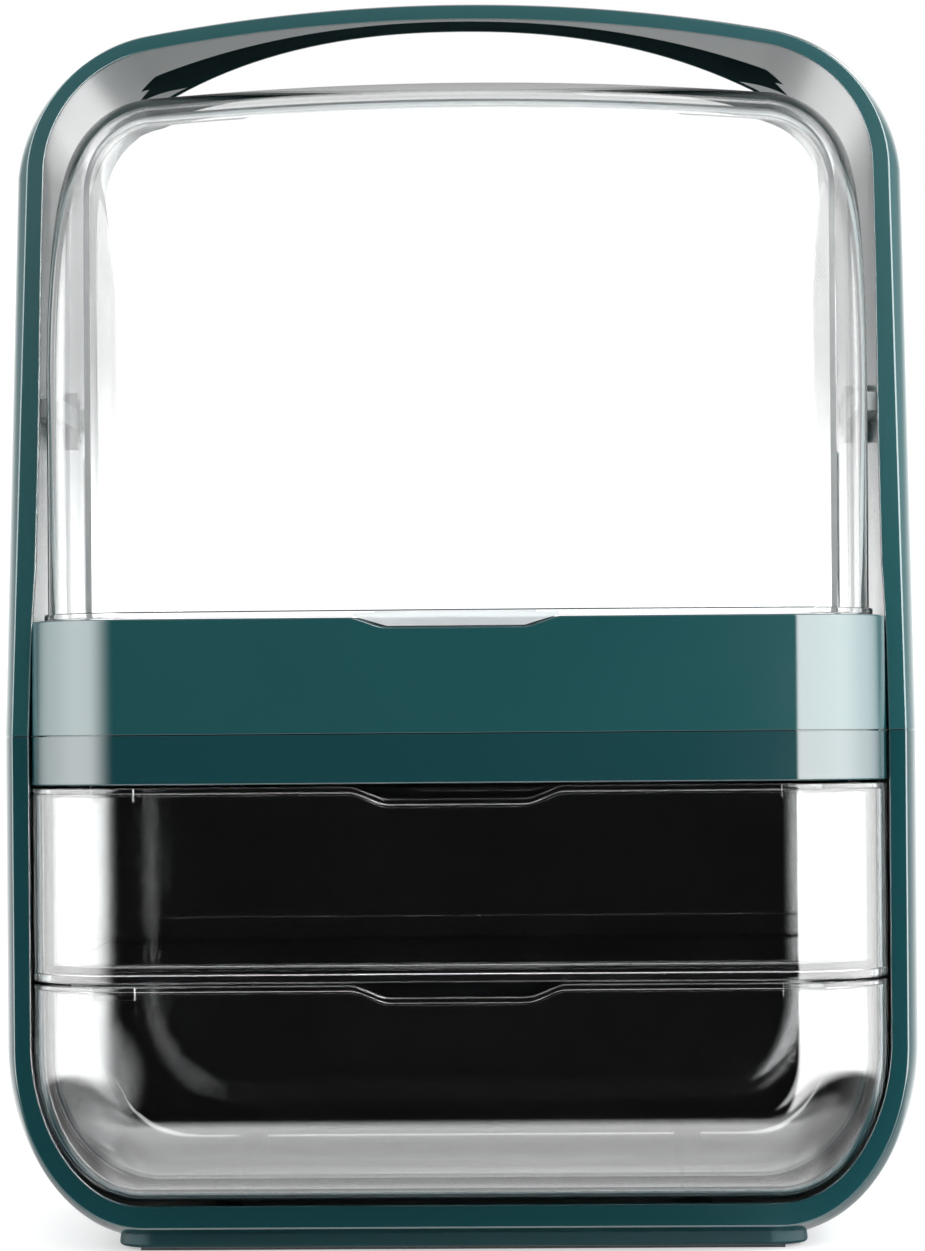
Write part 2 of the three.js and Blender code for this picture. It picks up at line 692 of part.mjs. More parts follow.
// The grip insert seen from above: under the handle, with a stepped ear at each end
function gripRegion(grow) {
  const frontEdge = handleFrontY() + RIM_DEPTH + GRIP_MARGIN - grow;
  const front = steps(-1, 1, 2 * CURVE_STEPS).map((share) => [
    share * (gripHalf + grow),
    frontEdge + GRIP_FRONT_SWEEP * Math.abs(share) ** GRIP_SWEEP_POWER_SHARE,
  ]);
  const cornerY = frontEdge + GRIP_FRONT_SWEEP;
  const right = [
    [gripHalf + GRIP_EAR_REACH + grow, cornerY + GRIP_EAR_RUN],
    [gripHalf + GRIP_EAR_REACH - GRIP_STEP + grow, cornerY + GRIP_EAR_RUN + GRIP_STEP],
    [gripHalf + GRIP_EAR_REACH + GRIP_STEP + grow, cornerY + 2 * GRIP_EAR_RUN + grow],
    [0, cornerY + 2 * GRIP_EAR_RUN + grow],
  ];
  const outline = [...front, ...right, ...mirrored(right).slice(1)];
  return prism(outline, 'z', pivotZ, wayUpZ);
}

function handleGrip() {
  return alongY([rimFrontY, rimBackY], () => hoopOutline(LINER_WALL - RIM_FACE), leaned)
    .subtract(hoopOpening(0))
    .intersect(gripRegion(0))
    .subtract(handOpening(HAND_EDGE + CLEARANCE));
}

// The part of the dome that flips: up to a ray from the pivot, with a lobe round the pivot
function coverRegion() {
  const ray = THREE.MathUtils.degToRad(COVER_END_DEG);
  const far = coverRadius + OVERRUN;
  const seatZ = trayTopZ + COVER_SEAT_GAP;
  const outline = [
    [frontY - OVERRUN, seatZ],
    [PIVOT_Y - COVER_EAR_REAR, seatZ],
    [PIVOT_Y - COVER_EAR_REAR, pivotZ],
    [PIVOT_Y, pivotZ],
    [PIVOT_Y - far * Math.cos(ray), pivotZ + far * Math.sin(ray)],
    [frontY - OVERRUN, pivotZ + far],
  ];
  const region = prism(outline, 'x', -WIDTH, WIDTH);
  return region.add(crossBar(COVER_LOBE_RADIUS, -WIDTH, WIDTH, PIVOT_Y, pivotZ));
}

function flipCover() {
  const grown = (grow) => domeSolid(coverRadius + grow, coverHalf + grow, COVER_CORNER + grow);
  const inner = grown(-COVER_WALL);
  const rim = grown(COVER_FLANGE).subtract(inner);
  const seatZ = trayTopZ + COVER_SEAT_GAP;
  const flange = rim.intersect(slab(seatZ, seatZ + COVER_FLANGE_HEIGHT)).intersect(coverRegion());
  const tab = rim
    .intersect(slab(trayTopZ - NOTCH_DROP + COVER_SEAT_GAP, seatZ + COVER_FLANGE_HEIGHT / 2))
    .intersect(tabRegion());
  const shell = grown(0).subtract(inner).intersect(coverRegion());
  const bores = [-1, 1].map((side) => earBore(side));
  return union([shell, flange, tab]).subtract(union(bores));
}

function earBore(side) {
  const ends = [coverHalf - OVERRUN, coverHalf + OVERRUN];
  return crossBar(PIN_RADIUS + PIN_PLAY, side * ends[0], side * ends[1], PIVOT_Y, pivotZ);
}

// The pull tab fills the notch in the tray's front edge
function tabRegion() {
  const lift = COVER_SEAT_GAP;
  const halfTop = NOTCH_HALF_TOP - lift;
  const halfFloor = NOTCH_HALF_FLOOR - lift;
  const edge = notchedEdge(trayTopZ + lift, halfTop, halfFloor, NOTCH_DROP, NOTCH_HALF_TOP);
  const top = trayTopZ + lift + COVER_FLANGE_HEIGHT;
  const outline = [...edge.slice(1, -1), [halfTop, top], [-halfTop, top]];
  return prism(outline, 'y', frontY - OVERRUN, frontY + TRAY_LEDGE / 2 - lift);
}

function backCover() {
  const drop = COVER_WALL + COVER_TO_BACK_GAP;
  const rearY = backY - BACK_COVER_MARGIN;
  const shell = (inset) => {
    const off = drop + inset;
    const half = coverHalf - off;
    const dome = domeSolid(coverRadius - off, half, COVER_CORNER - off);
    const radius = BACK_COVER_CORNER - inset;
    const turn = arc([half - radius, rearY - inset - radius], radius, radius, 0, Math.PI / 2, EDGE_STEPS);
    const right = [[half, frontY], ...turn];
    return dome.intersect(prism([...right, ...mirrored(right)], 'z', SEAM_Z - OVERRUN, wayUpZ));
  };
  const frontOfBack = PIVOT_Y - BACK_COVER_FRONT;
  const region = box([-WIDTH, WIDTH], [frontOfBack, backY + OVERRUN], [trayTopZ + CLEARANCE, wayUpZ]);
  return shell(0).subtract(shell(BACK_COVER_WALL)).intersect(region);
}

// A stub pin: its tip is pressed into the hoop, its nose carries the cover's ear
function pivotPin(side) {
  const nose = coverHalf - COVER_WALL;
  const boss = openingHalf - GUIDE_STAND;
  const tip = openingHalf + LINER_WALL + PIN_TIP_DEPTH;
  const shaft = crossBar(PIN_RADIUS, side * nose, side * tip, PIVOT_Y, pivotZ);
  const rest = boss - CLEARANCE;
  const collar = crossBar(PIN_COLLAR_RADIUS, side * rest, side * (rest - PIN_COLLAR), PIVOT_Y, pivotZ);
  return shaft.add(collar);
}

// Materials

function greenGloss() {
  return new THREE.MeshStandardMaterial({ color: '#17494c', roughness: 0.22, metalness: 0 });
}

function greenMatte() {
  return new THREE.MeshStandardMaterial({ color: '#0f2c2e', roughness: 0.6, metalness: 0 });
}

function darkInside() {
  return new THREE.MeshStandardMaterial({ color: '#1b1d1f', roughness: 0.45, metalness: 0 });
}

function clearPlastic() {
  return new THREE.MeshStandardMaterial({
    color: '#eef2f3', roughness: 0.05, metalness: 0, transparent: true, opacity: 0.3,
  });
}

function rubber() {
  return new THREE.MeshStandardMaterial({ color: '#141617', roughness: 0.9, metalness: 0 });
}

// The scene graph

function piece(name, body, material) {
  const mesh = new THREE.Mesh(geometryOf(body), material);
  mesh.name = name;
  return mesh;
}

function groupOf(...meshes) {
  const group = new THREE.Group();
  group.add(...meshes);
  return group;
}

function drawer(name, layer) {
  return groupOf(
    piece(`drawer_${name}_tray`, drawerTray(layer), clearPlastic()),
    piece(`drawer_${name}_front`, drawerFront(layer), clearPlastic()),
    piece(`drawer_${name}_clip_left`, clip(clipPlaces(layer.topZ)[0], 0), clearPlastic()),
    piece(`drawer_${name}_clip_right`, clip(clipPlaces(layer.topZ)[1], 0), clearPlastic()),
  );
}

const lowerSection = groupOf(
  piece('base_plinth', plinth(), greenGloss()),
  piece('foot_strip_front', stripBox(-1, 0), rubber()),
  piece('foot_strip_rear', stripBox(1, 0), rubber()),
  piece('lower_shell', lowerShell(), greenGloss()),
  piece('back_panel', backPanel(), greenGloss()),
  piece('side_frame_left', rail(-1), darkInside()),
  piece('side_frame_right', rail(1), darkInside()),
  piece('divider_shelf', shelf(), darkInside()),
  piece('floor_runner_left', runner(-1), darkInside()),
  piece('floor_runner_right', runner(1), darkInside()),
  piece('lower_deck', deck(), greenGloss()),
  drawer('lower', DRAWERS.lower),
  drawer('upper', DRAWERS.upper),
);

const upperSection = groupOf(
  piece('upper_tray', upperTray(), greenGloss()),
  piece('upper_hoop', upperHoop(), greenGloss()),
  piece('hoop_liner', hoopLiner(), greenGloss()),
  piece('handle_grip', handleGrip(), greenMatte()),
  piece('flip_cover', flipCover(), clearPlastic()),
  piece('back_cover', backCover(), clearPlastic()),
  piece('pivot_pin_left', pivotPin(-1), greenGloss()),
  piece('pivot_pin_right', pivotPin(1), greenGloss()),
);

export default groupOf(lowerSection, upperSection);
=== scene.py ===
"""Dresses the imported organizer: smooth moulded pieces, clear covers and drawers, a studio and a camera."""

import math

import bmesh
import bpy
import numpy as np
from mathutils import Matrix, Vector


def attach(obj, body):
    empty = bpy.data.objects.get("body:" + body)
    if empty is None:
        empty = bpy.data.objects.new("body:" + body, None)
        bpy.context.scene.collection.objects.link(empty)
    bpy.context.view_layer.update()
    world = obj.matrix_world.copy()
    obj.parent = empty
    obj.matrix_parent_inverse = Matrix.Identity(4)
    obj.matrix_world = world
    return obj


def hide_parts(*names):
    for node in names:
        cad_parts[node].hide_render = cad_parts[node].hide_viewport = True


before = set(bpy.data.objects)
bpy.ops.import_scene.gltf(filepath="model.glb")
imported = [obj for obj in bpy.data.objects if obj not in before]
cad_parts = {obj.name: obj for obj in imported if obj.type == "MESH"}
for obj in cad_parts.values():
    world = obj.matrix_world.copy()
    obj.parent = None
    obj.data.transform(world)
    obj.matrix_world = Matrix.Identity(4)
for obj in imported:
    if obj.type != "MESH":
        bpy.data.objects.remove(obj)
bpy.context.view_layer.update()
bpy.context.scene.view_settings.view_transform = "Standard"

MM = 0.001

# Sizes in millimetres, the same as the CAD's: x runs across, y to the rear and z up from the table

# Both sections
SEAM = 152.0
SEAM_GAP = 0.15
SEAM_ROUND = 0.15
FRONT = -95.0
BACK = 95.0
PLATE = 2.65  # from the seam to the far face of the plate above it and of the one below

# Ring: its front face lies between the crease and the opening, and the bulge starts at the crease
RIM_FRONT = -72.0
RIM_BACK = 92.0
RIM_DEPTH = 3.0
RIM_FACE = 5.2
FACE_TILT = 0.3
FACE_GROWTH = 0.3  # share by which it is wider at the bottom
FACE_SWELL = 0.15  # share by which it is wider beside the lower part of the cover
SWELL_START = (184, 196)
SWELL_END = (230, 300)
CREASE = 131.0
CREASE_ROUND = 0.55
CREASE_BOTTOM = 7.2
OPENING = 125.8
BULGE = 5.0
BULGE_RUN = 26.0
BULGE_POWER = 1.7
RING_WALL = 3.0
CORNER_ACROSS = 37.6
CORNER_UP = 52.6

# Hoop
LEAN = math.tan(math.radians(15))
CROWN_Z = 375.3
CROWN_RADIUS = 512.0
CROWN_FACE = 0.82  # shares of the front face and of the bulge that are left at the crown
CROWN_BULGE = 0.5
SHOULDER_RADIUS = 44.0
HOOP_WALL = 2.2
LINER_WALL = 2.0
LINER_GAP = 0.3
KEY_INSET = 1.3  # the hidden end that reaches across the seam's gap
KEY_REACH = 0.31

# Handle, with the hand opening behind it and the grip insert under it
HAND_HALF = 102.0
HAND_POWER = 2.46
HANDLE_FRONT = RIM_FRONT + (CROWN_Z - SEAM) * LEAN
HANDLE_BACK = HANDLE_FRONT + 25.0
GRIP_FRONT = HANDLE_FRONT + RIM_DEPTH + 1.2
GRIP_HALF = HAND_HALF - 5
GRIP_DEPTH = 41.3
GRIP_POWER = 2.3
GRIP_STEPS = [(6, 16), (3.5, 18.5), (8.5, 32)]  # outward and to the rear from the end of its curve
CUT_REAR = 130.0
CUT_TOP = 420.0

# Body: the case inside the ring, and the drawers' fronts
BODY_HALF = 125.4
BODY_CORNER_X = 87.9
BODY_CORNER_Z = 58.8
BODY_ACROSS = 37.5
BODY_UP = 43.5
EDGE_RADIUS = 28.3
BAND_BOTTOM = 137.6
TRAY_TOP = 185.5
NOTCH = (30.0, 20.2, 2.9)  # half its width above and at its floor, and its depth

# Drawers
FRONT_REAR = -66.4  # rear end of the fronts
FRONT_CORNER_X = 93.0
FRONT_CORNER_Z = 59.8
FRONT_UP = 44.8
SPLIT = 80.0
SPLIT_GAP = 0.4
DRAWER_GAP = 0.8
SCOOP = (30.5, 20.3, 3.6)  # as for the notch
LIP = 3.8
LIP_THICK = 1.7
DRAWER_WALL = 1.9
DRAWER_INSET = 4.1
DRAWER_REAR = 81.0
DRAWER_DROP = 2.4  # from the upper edge of a front down to its tray's
DRAWER_LIFT = 2.7  # from the foot of the upper front up to its tray's

# Covers and their pivot
PIVOT_Y = 10.0
PIVOT_Z = 250.4
CLEAR_WALL = 2.2
COVER_R = 103.4
COVER_HALF = 121.0
COVER_CORNER = 28.0
COVER_FACE = PIVOT_Y - COVER_R
CROWN_SAG = 2280.0  # twice the radius of the dome's crown from side to side
SEAT = 185.9
END_RAY = math.radians(97)
EAR_RADIUS = 12.0
EAR_FRONT = 2.0  # from the pivot forward to its straight edge
BORE_RADIUS = 4.3
BOSS_RADIUS = 9.0
GUIDE_HALF = 3.15
GUIDE_PROUD = 3.2
TAB_HALF = 29.6
TAB_FOOT = 19.8
BACK_COVER_DROP = 4.9  # from the flip cover inward
BACK_COVER_FRONT = PIVOT_Y - 23
BACK_COVER_REAR = BACK - 4
BACK_COVER_PLAN = 24.0  # radius of its rear corners seen from above
BACK_COVER_WALL = 2.0

# Degrees between two faces from which their edge is drawn sharp
SHARP = 32
SHARP_RING = 38
SHARP_BACK_COVER = 25

# Levels of what the gloss reflects, where 1 is white
RIGHT_PANEL = 16.0
LEFT_PANEL = 11.5
TABLE_LEVEL = 5.2
ROOM_LEVEL = 2.2
CORNER_LEVEL = 2.0
BEHIND_LEVEL = 0.45
ASIDE_LEVEL = 0.35
GAP_LEVEL = 0.03

# The background's level behind clear pieces, and what the floor shines by itself
THROUGH_LEVEL = 1.2
FLOOR_LIFT = 0.42

# Lamps and camera, in metres and degrees
LAMP_SIZE = (0.25, 0.5)
LAMP_HEIGHT = 0.24
LAMP_AIM = (0, 0, 0.18)
CAMERA_PLACE = (0.028, -1.295, 0.152)
CAMERA_TURN = (90, 0.45, 1.25)
CAMERA_LENS = 120.32
CAMERA_SHIFT = 0.0860


# Mesh helpers


def new_object(name, data):
    obj = bpy.data.objects.new(name, data)
    bpy.context.scene.collection.objects.link(obj)
    return obj


def shade(mesh, angle):
    mesh.shade_smooth()
    mesh.set_sharp_from_angle(angle=math.radians(angle))


def solid_object(name, verts, faces, angle=SHARP):
    """A mesh object from points in millimetres."""
    mesh = bpy.data.meshes.new(name)
    scaled = np.asarray(verts, float).reshape(-1, 3) * MM
    mesh.from_pydata([tuple(v) for v in scaled], [], [tuple(f) for f in faces])
    clean = bmesh.new()
    clean.from_mesh(mesh)
    bmesh.ops.remove_doubles(clean, verts=clean.verts, dist=2e-6)
    bmesh.ops.dissolve_degenerate(clean, edges=clean.edges, dist=1e-6)
    bmesh.ops.recalc_face_normals(clean, faces=clean.faces)
    clean.to_mesh(mesh)
    clean.free()
    shade(mesh, angle)
    return new_object(name, mesh)


def strip_faces(rows, cols, closed=False):
    """Quads of a grid of points numbered row by row. A closed grid joins its last column to its first."""
    faces = []
    for r in range(rows - 1):
        for c in range(cols if closed else cols - 1):
            c2 = (c + 1) % cols
            faces.append((r * cols + c, r * cols + c2, (r + 1) * cols + c2, (r + 1) * cols + c))
    return faces


def sweep(name, sections, angle=SHARP):
    """A solid through closed cross-sections with the same count of points, capped flat at both ends."""
    sections = np.asarray(sections, float)
    rows, cols = sections.shape[:2]
    faces = strip_faces(rows, cols, True)
    faces.append(tuple(range(cols)))
    faces.append(tuple(range((rows - 1) * cols, rows * cols)))
    return solid_object(name, sections, faces, angle)


def close_side(verts, faces, rim, points):
    """A flat side on a sheet: the rim's points, which go on through new ones."""
    start = len(verts)
    verts += points
    faces.append((*rim, *range(start, start + len(points))))


def settle(obj, angle=SHARP):
    """Applies an object's modifiers to its mesh."""
    graph = bpy.context.evaluated_depsgraph_get()
    mesh = bpy.data.meshes.new_from_object(obj.evaluated_get(graph))
    obj.modifiers.clear()
    obj.data = mesh
    shade(mesh, angle)
    return obj


def combine(obj, others, operation):
    for other in others:
        cut = obj.modifiers.new(operation.lower(), "BOOLEAN")
        cut.operation = operation
        cut.solver = "EXACT"
        cut.object = other
    settle(obj)
    for other in others:
        bpy.data.objects.remove(other, do_unlink=True)
    return obj


def thicken(obj, wall, angle=SHARP):
    """Gives a sheet its wall, inward from the outer face."""
    shell = obj.modifiers.new("wall", "SOLIDIFY")
    shell.thickness = wall * MM
    shell.offset = -1
    shell.use_even_offset = True
    shell.use_quality_normals = True
    return settle(obj, angle)


def faces_inward(centre, normal):
    """Whether a face looks to the middle, seen from above."""
    return normal.x * centre.x + normal.y * centre.y < -0.5 * math.hypot(centre.x, centre.y)


def mark_faces(obj, test):
    """Marks the faces that take the piece's second material."""
    for face in obj.data.polygons:
        if test(face.center / MM, face.normal):
            face.material_index = 1
    return obj


def soften(obj, width):
    """Rounds the edges sharper than 40 degrees."""
    bevel = obj.modifiers.new("edges", "BEVEL")
    bevel.width = width * MM
    bevel.segments = 2
    bevel.limit_method = "ANGLE"
    bevel.angle_limit = math.radians(40)
    bevel.harden_normals = False


def even_shading(obj):
    """Lets the large faces rule the shading, so that a small round edge doesn't bend the look of a flat."""
    weighted = obj.modifiers.new("even", "WEIGHTED_NORMAL")
    weighted.keep_sharp = True
    weighted.weight = 80


def prism(name, points, axis, low, high):
    """A flat outline pushed along x, y or z."""
    order = {"x": (1, 2, 0), "y": (0, 2, 1), "z": (0, 1, 2)}[axis]
    rings = []
    for depth in (low, high):
        ring = np.zeros((len(points), 3))
        ring[:, order[0]] = [p[0] for p in points]
        ring[:, order[1]] = [p[1] for p in points]
        ring[:, order[2]] = depth
        rings.append(ring)
    return sweep(name, rings)


def rod(name, radius, x0, x1, y, z, steps=64):
    turn = np.linspace(0, 2 * math.pi, steps, endpoint=False)
    ring = [(y + radius * math.cos(a), z + radius * math.sin(a)) for a in turn]
    return prism(name, ring, "x", min(x0, x1), max(x0, x1))


def rounded(points, radii, steps=4):
    """A closed outline with each corner rounded by its own radius."""
    points = [np.asarray(p, float) for p in points]
    count = len(points)
    out = []
    for i, (p, radius) in enumerate(zip(points, radii)):
        if radius <= 0:
            out.append(p)
            continue
        to_prev, to_next = points[i - 1] - p, points[(i + 1) % count] - p
        len_prev, len_next = np.linalg.norm(to_prev), np.linalg.norm(to_next)
        u, v = to_prev / len_prev, to_next / len_next
        half = math.acos(float(np.clip(u @ v, -1, 1))) / 2
        reach = min(radius / math.tan(half), 0.45 * len_prev, 0.45 * len_next)
        real = reach * math.tan(half)
        centre = p + (u + v) / np.linalg.norm(u + v) * real / math.sin(half)
        a, b = p + u * reach - centre, p + v * reach - centre
        whole = math.acos(float(np.clip(a @ b / real**2, -1, 1)))
        for k in range(steps + 1):
            t = k / steps
            w = math.sin((1 - t) * whole) * a + math.sin(t * whole) * b
            out.append(centre + w / math.sin(whole))
    return np.array(out)


def rounded_open(corners, radii):
    """Rounds an open chain: its two ends stay as they are."""
    return [tuple(p) for p in rounded(corners, [0, *radii[1:-1], 0])]


def quarter(x, y, across, up, steps):
    """A quarter of an ellipse round a centre, from its right to its foot."""
    return [(x + across * math.cos(a), y + up * math.sin(a)) for a in np.linspace(0, -math.pi / 2, steps)]


def mirrored(right):
    """A right half that ends on the middle, and its mirror image after it."""
    return right + [(-x, y) for x, y in right[-2::-1]]


# Paths of the ring: lists of functions from an outward offset to a point (x, z)


def mirrored_path(right):
    return right + [lambda g, f=f: (-f(g)[0], f(g)[1]) for f in right[-2::-1]]


def lower_path(half, bottom, across, up, top):
    """The U of the lower ring, from the right end at the seam to the left one."""
    corner_x, corner_z = half - across, bottom + up
    right = [lambda g, z=z: (half + g, z) for z in np.linspace(top, corner_z, 9)]
    right += [
        lambda g, a=a: (corner_x + (across + g) * math.cos(a), corner_z + (up + g) * math.sin(a))
        for a in np.linspace(0, -math.pi / 2, 33)[1:]
    ]
    right += [lambda g, x=x: (x, bottom - g) for x in np.linspace(corner_x, 0, 7)[1:]]
    return mirrored_path(right)


def hoop_path():
    """The hoop, from the right end at the seam over the crown. Its offsets shrink towards the crown."""
    crown_centre = CROWN_Z - CROWN_RADIUS
    shoulder_x = CREASE - SHOULDER_RADIUS
    reach = CROWN_RADIUS - SHOULDER_RADIUS
    shoulder_z = crown_centre + math.sqrt(reach**2 - shoulder_x**2)
    meet = math.atan2(shoulder_z - crown_centre, shoulder_x)

    def on_arc(cx, cz, radius, a):
        def place(g):
            share = CROWN_FACE if g < 0 else CROWN_BULGE
            r = radius + g * (1 - (1 - share) * math.sin(a))
            return cx + r * math.cos(a), cz + r * math.sin(a)

        return place

    right = [lambda g, z=z: (CREASE + g, z) for z in np.linspace(SEAM + SEAM_GAP, shoulder_z, 15)[:-1]]
    right += [on_arc(shoulder_x, shoulder_z, SHOULDER_RADIUS, a) for a in np.linspace(0, meet, 29)]
    right += [on_arc(0, crown_centre, CROWN_RADIUS, a) for a in np.linspace(meet, math.pi / 2, 21)[1:]]
    return mirrored_path(right)


def bulge(run):
    """How far the ring swells at a depth behind its crease."""
    run = min(max(run, 0.0), BULGE_RUN)
    return BULGE * (1 - (1 - run / BULGE_RUN) ** BULGE_POWER)


def bulge_runs():
    """Depths behind the rim at which the bulge is drawn, with room for the crease's small round."""
    runs = [BULGE_RUN * (1 - math.cos(t)) for t in np.linspace(0, math.pi / 2, 15)]
    return [0.0] + [r for r in runs if r > 1.4]


def lean(y, z):
    """Depth in the leaning hoop of a point at the depth y of an upright one. The rear edge stands still."""
    share = (RIM_BACK - y) / (RIM_BACK - RIM_FRONT)
    return y + share * (z - SEAM) * LEAN


def unlean(y, z):
    shift = (z - SEAM) * LEAN
    depth = RIM_BACK - RIM_FRONT
    return (y - RIM_BACK * shift / depth) / (1 - shift / depth)


def hand_edge(x):
    """How far back the hoop reaches beside the hand opening."""
    share = min(abs(x) / HAND_HALF, 1.0)
    return HANDLE_BACK + (RIM_BACK - HANDLE_BACK) * share**HAND_POWER


def smooth_step(start, stop, value):
    """0 to 1 between two values, halfway between a straight and a smooth ramp."""
    t = min(max((value - start) / (stop - start), 0.0), 1.0)
    return t * t * (3 - 2 * t) * 0.5 + t * 0.5


def scoop(x, half_top, half_floor, drop):
    """Depth at x of a shallow scoop with sloped ends in an upper edge."""
    return drop * (1 - smooth_step(half_floor, half_top, abs(x)))


def scooped(reach, floor, shape):
    """A function for how far a scoop lowers a point, if it is near the front and above a floor."""

    def drop(x, y, z):
        return 0.0 if y > FRONT + reach or z < floor else scoop(x, *shape)

    return drop


# The ring: lower shell and upper hoop


def shell_section():
    """Cross-section of the lower ring as (outward offset, y) points."""
    runs = bulge_runs()
    front = [(bulge(r), RIM_FRONT + r) for r in runs]
    rear = [(bulge(r), RIM_BACK - r) for r in runs[::-1]]
    inner_runs = [RIM_DEPTH] + [r for r in runs if r > RIM_DEPTH + 1]
    inner_rear = [(bulge(r) - RING_WALL, RIM_BACK - r) for r in inner_runs]
    inner_front = [(bulge(r) - RING_WALL, RIM_FRONT + r) for r in inner_runs[::-1]]
    points = front + rear + [(-RIM_FACE, RIM_BACK), (-RIM_FACE, RIM_BACK - RIM_DEPTH)]
    points += inner_rear + inner_front
    points += [(-RIM_FACE, RIM_FRONT + RIM_DEPTH), (-RIM_FACE, RIM_FRONT + FACE_TILT)]
    radii = [0.0] * len(points)
    radii[0] = radii[len(front) + len(rear) - 1] = CREASE_ROUND
    radii[len(front) + len(rear)] = 0.5
    radii[-1] = 0.5
    return rounded(points, radii)


def lower_shell():
    """The lower ring. Its front face grows wider round the corners, and its inner faces take a near-black
    painted shade.
    """
    seam = SEAM - SEAM_GAP
    section = shell_section()
    sections = []
    for place in lower_path(CREASE, CREASE_BOTTOM, CORNER_ACROSS, CORNER_UP, seam):
        down = max(place(0.0)[1] - place(1.0)[1], 0.0)
        ring = []
        for g, y in section:
            x, z = place(g * (1 + FACE_GROWTH * down) if g < 0 else g)
            ring.append((x, y, z))
        sections.append(ring)
    shell = sweep("lower_shell_skin", seam_softened(sections, seam, -1), SHARP_RING)
    front, rear = FRONT_REAR + 0.5, RIM_BACK - RIM_DEPTH + 0.1
    # The ring's inner faces between the drawers' fronts and its rear rim take the painted shade
    return mark_faces(shell, lambda c, n: front < c.y < rear and n.x * c.x + n.z * (c.z - SEAM) < 0)


def seam_softened(sections, seam, side, key=False):
    """Rounds the edge at the seam. A key reaches across the seam's gap, set in from the surface."""
    turns = np.linspace(0, math.pi / 2, 4)
    levels = [(SEAM_ROUND * (1 - math.cos(t)), SEAM_ROUND * (1 - math.sin(t))) for t in turns]
    if key:
        levels += [(KEY_INSET, 0.0), (KEY_INSET, -KEY_REACH)]
    sections = [np.array(s, float) for s in sections]
    ends = []
    for base in (sections[0], sections[-1]):
        to_middle = base.mean(axis=0) - base
        to_middle[:, 2] = 0
        length = np.linalg.norm(to_middle, axis=1, keepdims=True)
        rings = []
        for shrink, lift in levels:
            ring = base + to_middle / np.maximum(length, 1e-6) * np.minimum(shrink, length * 0.4)
            ring[:, 2] = seam + side * lift
            rings.append(ring)
        ends.append(rings)
    return ends[0][::-1] + sections[1:-1] + ends[1]


def hoop_section(x0, z0):
    """Cross-section of the hoop at a station, as (outward offset, unleaned y) points."""
    hand = hand_edge(x0) if z0 > PIVOT_Z else RIM_BACK
    end = min(RIM_BACK, unlean(hand, z0))
    outer = [(bulge(r), RIM_FRONT + r) for r in bulge_runs()]
    start = RIM_FRONT + BULGE_RUN
    for t in np.linspace(0, math.pi / 2, 17)[1:]:
        y = start + (end - start) * math.sin(t)
        outer.append((bulge(RIM_BACK - y), y))
    wall = min(RIM_DEPTH, (end - RIM_FRONT) * 0.15)
    inside = -RIM_FACE + HOOP_WALL
    points = outer + [(-RIM_FACE, end), (-RIM_FACE, end - wall), (inside, end - wall)]
    points += [(inside, RIM_FRONT + wall), (-RIM_FACE, RIM_FRONT + wall)]
    points += [(-RIM_FACE, RIM_FRONT + min(FACE_TILT, wall * 0.2))]
    trimmed = end < RIM_BACK - 0.5
    radii = [0.0] * len(points)
    radii[0] = CREASE_ROUND
    # Never 0, so that every section has the same count of points
    radii[len(outer) - 1] = 1.3 if trimmed else 1e-4
    radii[len(outer)] = 1.0 if trimmed else 0.5
    radii[-1] = 0.5
    return rounded(points, radii)


def upper_hoop():
    sections = []
    for place in hoop_path():
        x0, z0 = place(0.0)
        wider = 1 + FACE_SWELL * smooth_step(*SWELL_START, z0) * (1 - smooth_step(*SWELL_END, z0))
        ring = []
        for g, y in hoop_section(x0, z0):
            x, z = place(g * wider if g < 0 else g)
            ring.append((x, lean(y, z), z))
        sections.append(ring)
    return sweep("upper_hoop_skin", seam_softened(sections, SEAM + SEAM_GAP, 1, key=True), SHARP_RING)


def inner_strip(name, gap):
    """The strip that lines the hoop's inside, from its front rim to its back rim."""
    wall = RIM_DEPTH + gap
    back = -RIM_FACE + LINER_WALL
    corners = [(-RIM_FACE, RIM_FRONT + wall), (back, RIM_FRONT + wall)]
    corners += [(back, RIM_BACK - wall), (-RIM_FACE, RIM_BACK - wall)]
    sections = []
    for place in hoop_path():
        ring = []
        for (g, y), (g2, y2) in zip(corners, corners[1:] + corners[:1]):
            for s in np.linspace(0, 1, 13)[:-1] if g == g2 else (0.0, 0.5):
                x, z = place(g + (g2 - g) * s)
                ring.append((x, lean(y + (y2 - y) * s, z), z))
        sections.append(ring)
    return sweep(name, sections)


def hand_prism():
    """The hand opening with the rim round it seen from above, as a cutting shape."""
    grow = RIM_DEPTH + LINER_GAP
    reach = HAND_HALF + grow
    depth = RIM_BACK - HANDLE_BACK + grow
    curve = []
    for share in np.linspace(-1, 1, 81):
        curve.append((share * reach, HANDLE_BACK - grow + depth * abs(share) ** HAND_POWER))
    return prism("hand", curve + [(reach, CUT_REAR), (-reach, CUT_REAR)], "z", PIVOT_Z, CUT_TOP)


def grip_prism(grow):
    """The grip insert seen from above, with its stepped parting lines, as a cutting shape."""
    front = GRIP_FRONT - grow
    curve = []
    for share in np.linspace(-1, 1, 81):
        curve.append((share * (GRIP_HALF + grow), front + GRIP_DEPTH * abs(share) ** GRIP_POWER))
    corner = front + GRIP_DEPTH
    right = [(GRIP_HALF + out + grow, corner + back) for out, back in GRIP_STEPS]
    right[-1] = (right[-1][0], right[-1][1] + grow)
    left = [(-x, y) for x, y in right[::-1]]
    return prism("grip_cut", curve + right + left, "z", PIVOT_Z, CUT_TOP)


